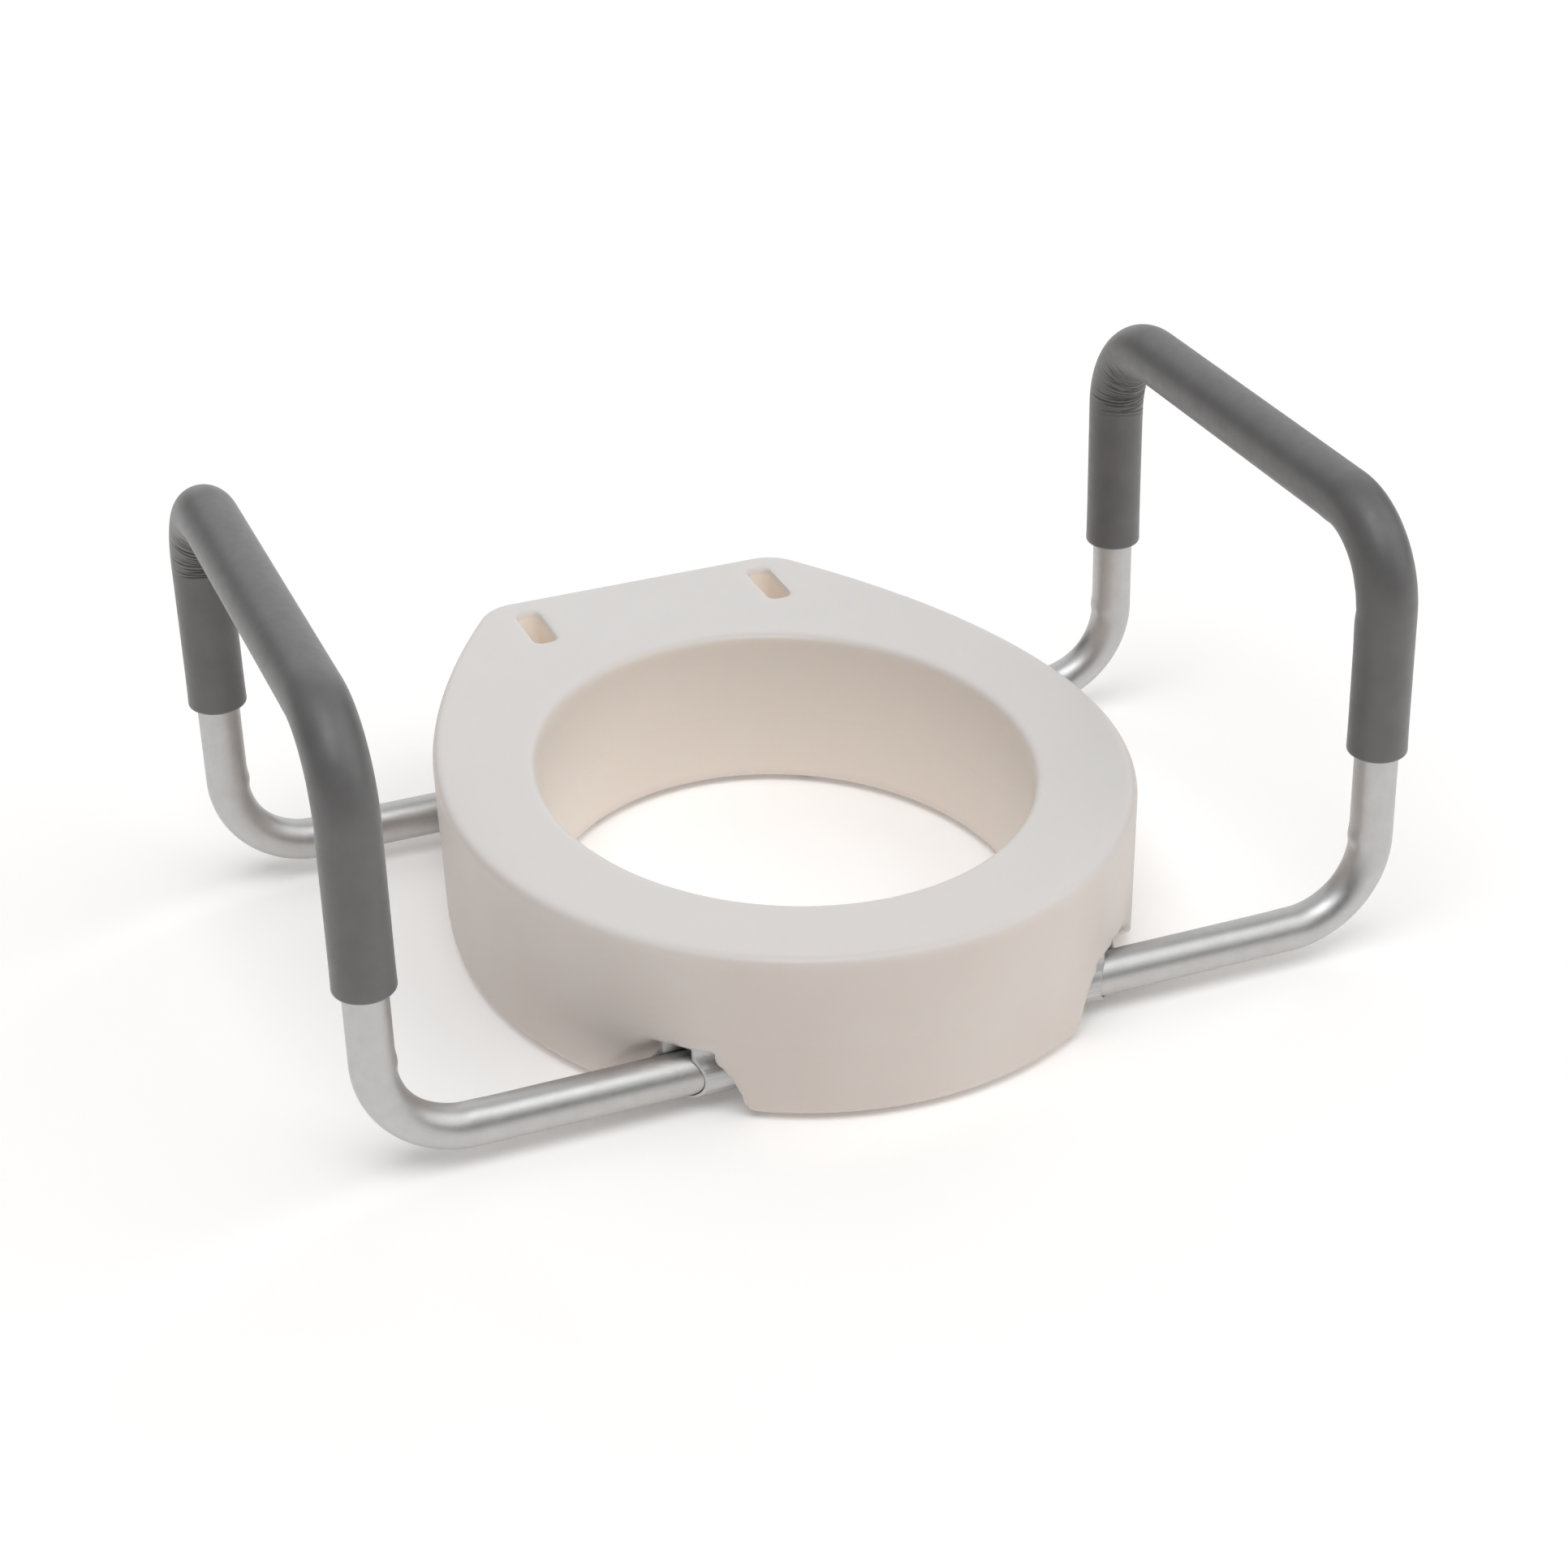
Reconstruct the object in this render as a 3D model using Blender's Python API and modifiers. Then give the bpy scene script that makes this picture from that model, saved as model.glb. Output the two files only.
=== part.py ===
"""Raised toilet seat: a hollow moulded riser with two removable padded arms.

Metres, +Z up, +Y towards the hinge end of the toilet, -Y towards the front of the bowl.
The origin is under the middle of the whole object, at the bottom of the rubber pads.
Left and right are as seen by someone standing in front of the seat, so left is -X.
"""

import math

import bmesh
import bpy

MM = 0.001
GAP = 0.3 * MM

# heights
PAD_HEIGHT = 3.0 * MM
SEAT_BOTTOM = PAD_HEIGHT
SEAT_TOP = SEAT_BOTTOM + 89.0 * MM
TUBE_Z = SEAT_BOTTOM + 15.5 * MM
UNDERSIDE = SEAT_BOTTOM - TUBE_Z

# the arms' middle, a little in front of the riser's own
ARM_MID_Y = -21.05 * MM

# riser outline: half an ellipse in front, a slowly narrowing side, a straight back edge
HALF_WIDTH = 178.8 * MM
FRONT_LENGTH = 200.5 * MM
BACK_LENGTH = 242.6 * MM
SIDE_LENGTH = 347.5 * MM
SIDE_POWER = 1.88
BACK_CORNER_R = 25.0 * MM
WALL_DRAFT = 1.5 * MM
EDGE_R = 5.0 * MM
SKIN = 3.0 * MM

# the oval hole in the middle
HOLE_HALF_X = 126.5 * MM
HOLE_HALF_Y = 148.3 * MM
HOLE_Y = 1.5 * MM
HOLE_DRAFT = 2.6 * MM

# two slots for the toilet seat's own bolts, narrowing from both mouths to a straight throat
SLOT_X = 70.5 * MM
SLOT_Y = 204.5 * MM
SLOT_LENGTH = 41.0 * MM
SLOT_WIDTH = 13.0 * MM
SLOT_EDGE_R = 2.2 * MM
THROAT_LENGTH = 27.0 * MM
THROAT_WIDTH = 11.0 * MM
THROAT_DEPTH = 20.0 * MM

# bent arm tubes
TUBE_R = 11.1 * MM
TUBE_WALL = 1.4 * MM
TUBE_RESOLUTION = 6
LEG_X = 263.9 * MM
LEG_Y = 148.8 * MM
ARM_RISE = 216.6 * MM
LOWER_BEND_R = 46.0 * MM
UPPER_BEND_R = 44.5 * MM
TUBE_END_X = 67.0 * MM
BEND_STEPS = 6

# foam grips, with the height of each one's front and rear end
FOAM_R = 15.46 * MM
FOAM_ENDS = {"left": (87.0 * MM, 92.5 * MM), "right": (94.5 * MM, 87.0 * MM)}

# extruded sleeves: a ring with a square neck on top, mouth cut to follow the riser's side
RING_R = 12.9 * MM
NECK_HALF = 7.6 * MM
NECK_WALL = 1.55 * MM
NECK_TOP = 18.0 * MM
BORE_R = TUBE_R + GAP + 0.05 * MM
SLEEVES = {
    "front": {"y": -LEG_Y, "inner": 59.0 * MM, "mouth": 115.5 * MM, "slant": 0.83},
    "rear": {"y": LEG_Y, "inner": 64.0 * MM, "mouth": 139.5 * MM, "slant": -0.50},
}

# channels under the riser for the sleeves
CHANNEL_HALF = 15.0 * MM
CHANNEL_TOP = NECK_TOP + GAP
MOUTH_HALF = 27.5 * MM
CHANNEL_CLEAR = 2.0 * MM
MOUTH_START = {"front": 80.0 * MM, "rear": 86.0 * MM}
FLANK_START = 112.0 * MM
FLANK_FOOT = {"left_front": 37.0 * MM, "right_front": 50.0 * MM}
FLANK_FOOT.update({"left_rear": 37.0 * MM, "right_rear": 37.0 * MM})
REACH = HALF_WIDTH + 20.0 * MM

# screws that hold each sleeve up into its channel
SCREWS_X = {"front": (67.0 * MM, 102.0 * MM), "rear": (73.0 * MM, 126.0 * MM)}
SCREW_R = 1.9 * MM
SCREW_LENGTH = 11.0 * MM
HEAD_R = 3.8 * MM
HEAD_HEIGHT = 2.4 * MM

# snap buttons, pressed up into the tube against a bent strip
BUTTON_X = 86.0 * MM
BUTTON_R = 3.9 * MM
BUTTON_TIP = 14.9 * MM
BUTTON_BASE = 8.0 * MM
STRIP_WIDTH = 6.8 * MM
STRIP_THICK = 0.6 * MM

# push-in pads under the riser, and the hole that the mould's air went through
PAD_R = 10.0 * MM
STEM_R = 2.8 * MM
PADS = {"front": (34.0 * MM, -170.5 * MM), "rear": (98.0 * MM, 196.0 * MM)}
VENT_R = 2.5 * MM
VENT_Y = 205.0 * MM

SIDES = {"left": -1.0, "right": 1.0}


# ---------------------------------------------------------------- helpers

def clear_scene():
    for item in list(bpy.data.objects):
        bpy.data.objects.remove(item, do_unlink=True)


def make_collection(name):
    group = bpy.data.collections.new(name)
    bpy.context.scene.collection.children.link(group)
    return group


def make_material(name, colour, roughness, metallic=0.0):
    mat = bpy.data.materials.new(name)
    mat.use_nodes = True
    shader = mat.node_tree.nodes["Principled BSDF"]
    shader.inputs["Base Color"].default_value = (*colour, 1.0)
    shader.inputs["Roughness"].default_value = roughness
    shader.inputs["Metallic"].default_value = metallic
    mat.diffuse_color = (*colour, 1.0)
    return mat


def arm_frame(name, group):
    """An empty midway between the tubes, at their height: most positions are from here."""
    empty = bpy.data.objects.new(name, None)
    empty.location = (0.0, ARM_MID_Y, TUBE_Z)
    group.objects.link(empty)
    return empty


def add_object(name, data, group, parent=None, mat=None):
    item = bpy.data.objects.new(name, data)
    group.objects.link(item)
    item.parent = parent
    if mat is not None:
        data.materials.append(mat)
    return item


def add_bmesh(name, bm, group, parent=None, mat=None):
    mesh = bpy.data.meshes.new(name)
    bmesh.ops.recalc_face_normals(bm, faces=bm.faces[:])
    bm.to_mesh(mesh)
    bm.free()
    return add_object(name, mesh, group, parent, mat)


def smooth(item, angle=35.0):
    item.data.shade_smooth()
    item.data.set_sharp_from_angle(angle=math.radians(angle))


def cut(target, cutter):
    """Take the cutter away from the target."""
    mod = target.modifiers.new(cutter.name, "BOOLEAN")
    mod.operation = "DIFFERENCE"
    mod.solver = "EXACT"
    mod.object = cutter
    cutter.hide_render = True
    cutter.display_type = "WIRE"


def make_curve(name, outlines, closed, flat, group, parent):
    curve = bpy.data.curves.new(name, "CURVE")
    curve.dimensions = "2D" if flat else "3D"
    for points in outlines:
        spline = curve.splines.new("POLY")
        spline.points.add(len(points) - 1)
        for point, place in zip(spline.points, points):
            point.co = (*place, 0.0, 1.0) if flat else (*place, 1.0)
        spline.use_cyclic_u = closed
    return add_object(name, curve, group, parent)


def curve_to_mesh(item):
    """Swap a curve object for a mesh one with its loose edges welded."""
    bpy.context.view_layer.update()
    graph = bpy.context.evaluated_depsgraph_get()
    mesh = bpy.data.meshes.new_from_object(item.evaluated_get(graph))
    bm = bmesh.new()
    bm.from_mesh(mesh)
    bmesh.ops.remove_doubles(bm, verts=bm.verts[:], dist=0.00001)
    bmesh.ops.recalc_face_normals(bm, faces=bm.faces[:])
    bm.to_mesh(mesh)
    bm.free()
    name, group, parent = item.name, item.users_collection[0], item.parent
    place, turn = item.location.copy(), item.rotation_euler.copy()
    bpy.data.objects.remove(item, do_unlink=True)
    made = add_object(name, mesh, group, parent)
    made.location = place
    made.rotation_euler = turn
    return made


def bar_along_x(name, outlines, y, near, far, group, parent, mat=None):
    """Flat outlines of (across, height) run along X from near to far."""
    item = make_curve(name, outlines, True, True, group, parent)
    item.data.fill_mode = "BOTH"
    item.data.extrude = abs(far - near) / 2.0
    item.location = ((near + far) / 2.0, y, 0.0)
    item.rotation_euler = (math.pi / 2.0, 0.0, math.pi / 2.0)
    made = curve_to_mesh(item)
    if mat is not None:
        made.data.materials.append(mat)
    return made


def cylinder(name, radius, x, y, low, high, sides, group, parent):
    """An upright cylinder, used to drill round holes."""
    bm = bmesh.new()
    height = high - low
    bmesh.ops.create_cone(
        bm, cap_ends=True, segments=sides, radius1=radius, radius2=radius, depth=height
    )
    item = add_bmesh(name, bm, group, parent)
    item.location = (x, y, (low + high) / 2.0)
    item.rotation_euler = (0.0, 0.0, math.pi / sides)
    return item


def turned(name, profile, steps, x, y, z, group, parent, mat):
    """A (radius, height) profile, from the top down, turned about its own Z axis."""
    mesh = bpy.data.meshes.new(name)
    edges = [(i, i + 1) for i in range(len(profile) - 1)]
    mesh.from_pydata([(r, 0.0, h) for r, h in profile], edges, [])
    item = add_object(name, mesh, group, parent, mat)
    item.location = (x, y, z)
    mod = item.modifiers.new("turn", "SCREW")
    mod.axis = "Z"
    mod.steps = steps
    mod.render_steps = steps
    mod.use_merge_vertices = True
    mod.merge_threshold = 0.00001
    mod.use_smooth_shade = True
    return item


# ---------------------------------------------------------------- riser outline

def side_x(y):
    return HALF_WIDTH * (1.0 - (y / SIDE_LENGTH) ** SIDE_POWER)


def side_slope(y):
    return -HALF_WIDTH * SIDE_POWER / SIDE_LENGTH * (y / SIDE_LENGTH) ** (SIDE_POWER - 1.0)


def corner_arc(steps):
    """The rounded back corner: how far back the side runs, then the points of the arc."""
    low, high = BACK_LENGTH * 0.6, BACK_LENGTH
    for _ in range(40):
        y = (low + high) / 2.0
        length = math.hypot(1.0, side_slope(y))
        mid_y = y + side_slope(y) / length * BACK_CORNER_R
        if mid_y < BACK_LENGTH - BACK_CORNER_R:
            low = y
        else:
            high = y
    mid_x = side_x(y) - BACK_CORNER_R / length
    start = math.atan2(y - mid_y, side_x(y) - mid_x)
    arc = []
    for i in range(steps + 1):
        a = start + (math.pi / 2.0 - start) * i / steps
        arc.append((mid_x + BACK_CORNER_R * math.cos(a), mid_y + BACK_CORNER_R * math.sin(a)))
    return y, arc


def riser_outline(front, side, corner, back):
    """Points of the whole outline, given how many steps each stretch of half of it has."""
    half = []
    for i in range(front):
        a = math.pi / 2.0 * i / front
        half.append((HALF_WIDTH * math.sin(a), -FRONT_LENGTH * math.cos(a)))
    side_end, arc = corner_arc(corner)
    for i in range(side):
        y = side_end * i / side
        half.append((side_x(y), y))
    half.extend(arc)
    for i in range(1, back + 1):
        half.append((arc[-1][0] * (1.0 - i / back), BACK_LENGTH))
    return half + [(-x, y) for x, y in reversed(half[1:-1])]


def outer_loop(points, inset, z):
    """The outline moved inwards, square to itself."""
    loop = []
    for i, (x, y) in enumerate(points):
        (ax, ay), (bx, by) = points[i - 1], points[(i + 1) % len(points)]
        length = math.hypot(bx - ax, by - ay)
        loop.append((x - (by - ay) / length * inset, y + (bx - ax) / length * inset, z))
    return loop


def hole_loop(points, grow, z):
    """The oval of the hole, with one point towards each point of the outline."""
    loop = []
    for x, y in points:
        a = math.atan2((y - HOLE_Y) / FRONT_LENGTH, x / HALF_WIDTH)
        loop.append(((HOLE_HALF_X + grow) * math.cos(a), HOLE_Y + (HOLE_HALF_Y + grow) * math.sin(a), z))
    return loop


def join_rows(bm, rows):
    """Skin between one closed row of points and the next, for sections of unlike shape."""
    count = len(rows[0])
    for low, high in zip(rows, rows[1:]):
        for i in range(count):
            j = (i + 1) % count
            bm.faces.new((low[i], low[j], high[j], high[i]))


def ring_of_loops(name, loops, group, parent, mat=None):
    """Four unlike loops joined into a closed ring: out, up, in over the top, and down."""
    bm = bmesh.new()
    rows = [[bm.verts.new(p) for p in loop] for loop in loops]
    join_rows(bm, rows + rows[:1])
    return add_bmesh(name, bm, group, parent, mat)


def riser_block(group, frame, mat):
    """The riser before anything is cut out of it."""
    points = riser_outline(20, 13, 5, 4)
    top = SEAT_TOP - TUBE_Z
    loops = [outer_loop(points, WALL_DRAFT, UNDERSIDE), outer_loop(points, 0.0, top)]
    loops += [hole_loop(points, 0.0, top), hole_loop(points, -HOLE_DRAFT, UNDERSIDE)]
    return ring_of_loops("seat_shell", loops, group, frame, mat)


def riser_hollow(group, frame):
    """The space inside the skin."""
    points = riser_outline(12, 8, 3, 2)
    low, high = UNDERSIDE + SKIN, SEAT_TOP - TUBE_Z - SKIN
    loops = [outer_loop(points, SKIN + WALL_DRAFT, low), outer_loop(points, SKIN, high)]
    loops += [hole_loop(points, SKIN, high), hole_loop(points, SKIN - HOLE_DRAFT, low)]
    hollow = ring_of_loops("hollow", loops, group, frame)
    round_rims(hollow, 3.0 * MM, 1)
    return hollow


def round_rims(item, width, segments):
    """Round the sharp edges that the item has so far."""
    mod = item.modifiers.new("rims", "BEVEL")
    mod.width = width
    mod.segments = segments
    mod.limit_method = "ANGLE"
    mod.angle_limit = math.radians(45.0)
    mod.harden_normals = False


# ---------------------------------------------------------------- bolt slots

def stadium(half_straight, radius, steps):
    loop = []
    for turn in (0, 1):
        mid = half_straight if turn == 0 else -half_straight
        for i in range(steps + 1):
            a = math.pi * (turn + i / steps)
            loop.append((radius * math.cos(a), mid + radius * math.sin(a)))
    return loop


def slot_loop(length, width, grow, z):
    return [(x, y, z) for x, y in stadium((length - width) / 2.0, width / 2.0 + grow, 6)]


def slot_block(name, side, grow, group, frame):
    """The shape of a bolt slot, grown outwards: mouth, throat, throat and mouth."""
    low, high = UNDERSIDE, SEAT_TOP - TUBE_Z
    mouths = (low - 5.0 * MM, low, low + THROAT_DEPTH, high - THROAT_DEPTH, high, high + 5.0 * MM)
    sizes = [(SLOT_LENGTH, SLOT_WIDTH)] * 2 + [(THROAT_LENGTH, THROAT_WIDTH)] * 2
    sizes += [(SLOT_LENGTH, SLOT_WIDTH)] * 2
    bm = bmesh.new()
    rows = [[bm.verts.new(p) for p in slot_loop(*size, grow, z)] for size, z in zip(sizes, mouths)]
    join_rows(bm, rows)
    bm.faces.new(rows[0])
    bm.faces.new(rows[-1])
    item = add_bmesh(name, bm, group, frame)
    item.location = (side * SLOT_X, SLOT_Y, 0.0)
    return item


# ---------------------------------------------------------------- sleeve channels

def mirrored(half):
    """Close half of an outline, listed from the top down."""
    return half + [(-across, z) for across, z in reversed(half)]


def lane_outline():
    """The channel that a sleeve lies in, open below."""
    half = [(CHANNEL_HALF - 1.5 * MM, CHANNEL_TOP), (CHANNEL_HALF, CHANNEL_TOP - 1.5 * MM)]
    half += [(CHANNEL_HALF, UNDERSIDE + 1.5 * MM), (CHANNEL_HALF + 1.5 * MM, UNDERSIDE)]
    half += [(CHANNEL_HALF + 1.5 * MM, UNDERSIDE - 4.0 * MM)]
    return mirrored(half)


def mouth_outline():
    """The wider mouth below the neck, which gives a finger room to reach the button."""
    half = [(13.0 * MM, 11.0 * MM), (16.6 * MM, 9.6 * MM), (19.0 * MM, 6.2 * MM)]
    half += [(21.0 * MM, 2.2 * MM), (22.6 * MM, -5.0 * MM), (24.0 * MM, UNDERSIDE + 3.5 * MM)]
    half += [(25.2 * MM, UNDERSIDE + 1.2 * MM), (MOUTH_HALF, UNDERSIDE)]
    half += [(MOUTH_HALF, UNDERSIDE - 4.0 * MM)]
    return mirrored(half)


def flank_outline(foot, inward):
    """The underside's slope from the mouth towards the middle of the seat."""
    low = UNDERSIDE - 4.0 * MM
    half = [(16.0 * MM, 10.4 * MM), (foot - 4.0 * MM, UNDERSIDE + 2.6 * MM)]
    half += [(foot + 2.5 * MM, UNDERSIDE), (foot + 2.5 * MM, low), (14.0 * MM, low)]
    return [(inward * across, z) for across, z in half]


def wall_outline(near, far, top, slope_from):
    """A block that holds a channel and its skin, with a slope on the far side."""
    low = UNDERSIDE - 4.0 * MM
    return [(near, low), (near, top), (slope_from, top), (far, low + 6.0 * MM), (far, low)]


def cut_channel(shell, hollow, group, frame, hand, end):
    """One sleeve's channel: a straight lane, a wider mouth and a sloping flank."""
    side, spec, tag = SIDES[hand], SLEEVES[end], f"{hand}_{end}"
    inward = 1.0 if end == "front" else -1.0
    y, far, foot = spec["y"], side * REACH, FLANK_FOOT[tag]
    lane = side * (spec["inner"] - CHANNEL_CLEAR)
    mouth, flank = side * MOUTH_START[end], side * FLANK_START
    for part, outline, near in (
        ("lane", lane_outline(), lane),
        ("mouth", mouth_outline(), mouth),
        ("flank", flank_outline(foot, inward), flank),
    ):
        cut(shell, bar_along_x(f"{tag}_{part}", [outline], y, near, far, group, frame))
    lane_half = CHANNEL_HALF + SKIN
    flank_wall = wall_outline(-20.0 * MM, foot + 4.0 * MM, 14.5 * MM, 19.0 * MM)
    for part, outline, near in (
        ("lane", wall_outline(-lane_half, lane_half, CHANNEL_TOP + SKIN, lane_half), lane),
        ("mouth", wall_outline(-MOUTH_HALF, MOUTH_HALF, 14.0 * MM, 18.0 * MM), mouth),
        ("flank", [(inward * across, z) for across, z in flank_wall], flank),
    ):
        near -= side * SKIN
        cut(hollow, bar_along_x(f"{tag}_{part}_wall", [outline], y, near, far, group, frame))


# ---------------------------------------------------------------- riser

def drill_riser(shell, group, frame):
    """Holes in the skin for the vent, the pads' stems and the sleeves' screws."""
    low, high = UNDERSIDE - 2.0 * MM, UNDERSIDE + SKIN + 2.0 * MM
    cut(shell, cylinder("vent", VENT_R, 0.0, VENT_Y, low, high, 12, group, frame))
    for hand, side in SIDES.items():
        for end, (x, y) in PADS.items():
            name = f"{hand}_{end}_pad_hole"
            cut(shell, cylinder(name, STEM_R + GAP, side * x, y, low, high, 16, group, frame))
        for end, places in SCREWS_X.items():
            for which, x in zip(("inner", "outer"), places):
                name = f"{hand}_{end}_{which}_screw_hole"
                y, top = SLEEVES[end]["y"], CHANNEL_TOP + SKIN + 1.0 * MM
                hole = cylinder(name, SCREW_R + GAP, side * x, y, NECK_TOP, top, 12, group, frame)
                cut(shell, hole)


def build_riser(parts, cutters, frame, mat):
    shell = riser_block(parts, frame, mat)
    round_rims(shell, EDGE_R, 3)
    hollow = riser_hollow(cutters, frame)
    for hand, side in SIDES.items():
        cut(shell, slot_block(f"{hand}_bolt_slot", side, 0.0, cutters, frame))
        cut(hollow, slot_block(f"{hand}_slot_wall", side, SKIN, cutters, frame))
    round_rims(shell, SLOT_EDGE_R, 2)
    for hand in SIDES:
        for end in SLEEVES:
            cut_channel(shell, hollow, cutters, frame, hand, end)
    cut(shell, hollow)
    drill_riser(shell, cutters, frame)
    smooth(shell)


def pad(name, x, y, parts, frame, mat):
    """Rubber pad with a stem and a soft barb that holds it in the underside."""
    flat = UNDERSIDE - GAP
    barb = UNDERSIDE + SKIN + GAP
    floor = -TUBE_Z
    profile = [(0.0, barb + 3.5 * MM), (STEM_R - 1.0 * MM, barb + 3.5 * MM)]
    profile += [(STEM_R + 1.1 * MM, barb + 0.2 * MM), (STEM_R, barb), (STEM_R, flat)]
    profile += [(PAD_R, flat), (PAD_R, floor + 0.8 * MM), (PAD_R - 0.8 * MM, floor), (0.0, floor)]
    turned(name, profile, 16, x, y, 0.0, parts, frame, mat)


# ---------------------------------------------------------------- arms

def quarter_turn(mid, start, end):
    """Points of a bend about mid, without its first."""
    points = []
    for i in range(1, BEND_STEPS + 1):
        a = math.pi / 2.0 * i / BEND_STEPS
        c, s = math.cos(a), math.sin(a)
        points.append(tuple(m + c * u + s * v for m, u, v in zip(mid, start, end)))
    return points


def arm_path(side, foam_ends):
    """Centreline from the front tube end, up and over to the rear tube end."""
    x, low, up = side * LEG_X, LOWER_BEND_R, UPPER_BEND_R
    inner, turn_x = side * TUBE_END_X, side * (LEG_X - LOWER_BEND_R)
    out, top = side * low, ARM_RISE - up
    points = [(inner, -LEG_Y, 0.0), (turn_x, -LEG_Y, 0.0)]
    points += quarter_turn((turn_x, -LEG_Y, low), (0.0, 0.0, -low), (out, 0.0, 0.0))
    points += [(x, -LEG_Y, foam_ends[0]), (x, -LEG_Y, top)]
    points += quarter_turn((x, up - LEG_Y, top), (0.0, -up, 0.0), (0.0, 0.0, up))
    points += [(x, 0.0, ARM_RISE), (x, LEG_Y - up, ARM_RISE)]
    points += quarter_turn((x, LEG_Y - up, top), (0.0, 0.0, up), (0.0, up, 0.0))
    points += [(x, LEG_Y, foam_ends[1]), (x, LEG_Y, low)]
    points += quarter_turn((turn_x, LEG_Y, low), (out, 0.0, 0.0), (0.0, 0.0, -low))
    points.append((inner, LEG_Y, 0.0))
    return points


def pipe(name, path, radius, wall, group, frame, mat):
    """A round pipe along a path, its wall inside the given radius."""
    item = make_curve(name, [path], False, False, group, frame)
    item.data.bevel_depth = radius
    item.data.bevel_resolution = TUBE_RESOLUTION
    item.data.twist_mode = "MINIMUM"
    item = curve_to_mesh(item)
    item.data.materials.append(mat)
    mod = item.modifiers.new("wall", "SOLIDIFY")
    mod.thickness = wall
    mod.offset = -1.0
    smooth(item)
    return item


def build_arm(hand, parts, cutters, frame, metal, foam):
    side = SIDES[hand]
    path = arm_path(side, FOAM_ENDS[hand])
    tube = pipe(f"{hand}_arm_tube", path, TUBE_R, TUBE_WALL, parts, frame, metal)
    first = 2 + BEND_STEPS
    grip = path[first:len(path) - first]
    pipe(f"{hand}_foam_grip", grip, FOAM_R, FOAM_R - TUBE_R - GAP, parts, frame, foam)
    for end, spec in SLEEVES.items():
        name = f"{hand}_{end}_tube_hole"
        low, high = -TUBE_R - 2.0 * MM, -TUBE_R + 4.0 * MM
        hole = cylinder(name, BUTTON_R + GAP, side * BUTTON_X, spec["y"], low, high, 16, cutters, frame)
        cut(tube, hole)


# ---------------------------------------------------------------- sleeves

def ring_arc(radius, half, steps):
    """From one side of the neck down and round the ring to the other side."""
    start = math.acos(half / radius)
    points = []
    for i in range(steps + 1):
        a = start - (math.pi + 2.0 * start) * i / steps
        points.append((radius * math.cos(a), radius * math.sin(a)))
    return points


def sleeve_outlines():
    """The extrusion's outside, and the bore with the neck's slot above it."""
    outer = [(NECK_HALF, NECK_TOP), (NECK_HALF, 12.6 * MM), (8.3 * MM, 11.2 * MM)]
    outer += ring_arc(RING_R, 9.6 * MM, 16)
    outer += [(-8.3 * MM, 11.2 * MM), (-NECK_HALF, 12.6 * MM), (-NECK_HALF, NECK_TOP)]
    slot = NECK_HALF - NECK_WALL
    inner = [(slot, NECK_TOP - NECK_WALL)] + ring_arc(BORE_R, slot, 24)
    inner.append((-slot, NECK_TOP - NECK_WALL))
    return [outer, inner]


def slanted_end(name, side, spec, group, frame):
    """A block beyond the sleeve's mouth, turned to the slant of the riser's side."""
    size = 100.0 * MM
    bm = bmesh.new()
    bmesh.ops.create_cube(bm, size=size)
    item = add_bmesh(name, bm, group, frame)
    turn = math.atan2(-spec["slant"], side)
    item.rotation_euler = (0.0, 0.0, turn)
    half = size / 2.0
    x = side * spec["mouth"] + half * math.cos(turn)
    item.location = (x, spec["y"] + half * math.sin(turn), 0.0)
    return item


def build_sleeve(hand, end, parts, cutters, frame, metal):
    side, spec, tag = SIDES[hand], SLEEVES[end], f"{hand}_{end}"
    near, far = side * spec["inner"], side * (spec["mouth"] + 25.0 * MM)
    body = bar_along_x(f"{tag}_sleeve", sleeve_outlines(), spec["y"], near, far, parts, frame, metal)
    cut(body, slanted_end(f"{tag}_mouth_cut", side, spec, cutters, frame))
    low, high = -RING_R - 2.0 * MM, -RING_R + 5.0 * MM
    name, x, y = f"{tag}_button_hole", side * BUTTON_X, spec["y"]
    cut(body, cylinder(name, BUTTON_R + GAP, x, y, low, high, 16, cutters, frame))
    for which, x in zip(("inner", "outer"), SCREWS_X[end]):
        low, high = NECK_TOP - 3.0 * MM, NECK_TOP + 3.0 * MM
        name = f"{tag}_{which}_neck_hole"
        cut(body, cylinder(name, SCREW_R + GAP, side * x, y, low, high, 12, cutters, frame))
    smooth(body)


def screw(name, x, y, parts, frame, mat):
    """Pan-head screw, head inside the neck, point upwards into the riser."""
    seat = NECK_TOP - NECK_WALL - GAP
    profile = [(0.0, SCREW_LENGTH), (SCREW_R, SCREW_LENGTH - 2.0 * MM), (SCREW_R, 0.0)]
    profile += [(HEAD_R, 0.0), (HEAD_R, 1.2 * MM - HEAD_HEIGHT), (HEAD_R * 0.6, -HEAD_HEIGHT)]
    profile.append((0.0, -HEAD_HEIGHT))
    turned(name, profile, 12, x, y, seat, parts, frame, mat)


# ---------------------------------------------------------------- snap buttons

def snap_button(name, side, y, parts, frame, mat):
    """Round pin with a domed tip, its origin on the tube's axis."""
    profile = [(0.0, -BUTTON_BASE), (BUTTON_R, -BUTTON_BASE), (BUTTON_R, 1.7 * MM - BUTTON_TIP)]
    profile += [(BUTTON_R * 0.82, 0.5 * MM - BUTTON_TIP), (BUTTON_R * 0.45, -BUTTON_TIP)]
    profile.append((0.0, -BUTTON_TIP))
    turned(name, profile, 16, side * BUTTON_X, y, 0.0, parts, frame, mat)


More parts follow.
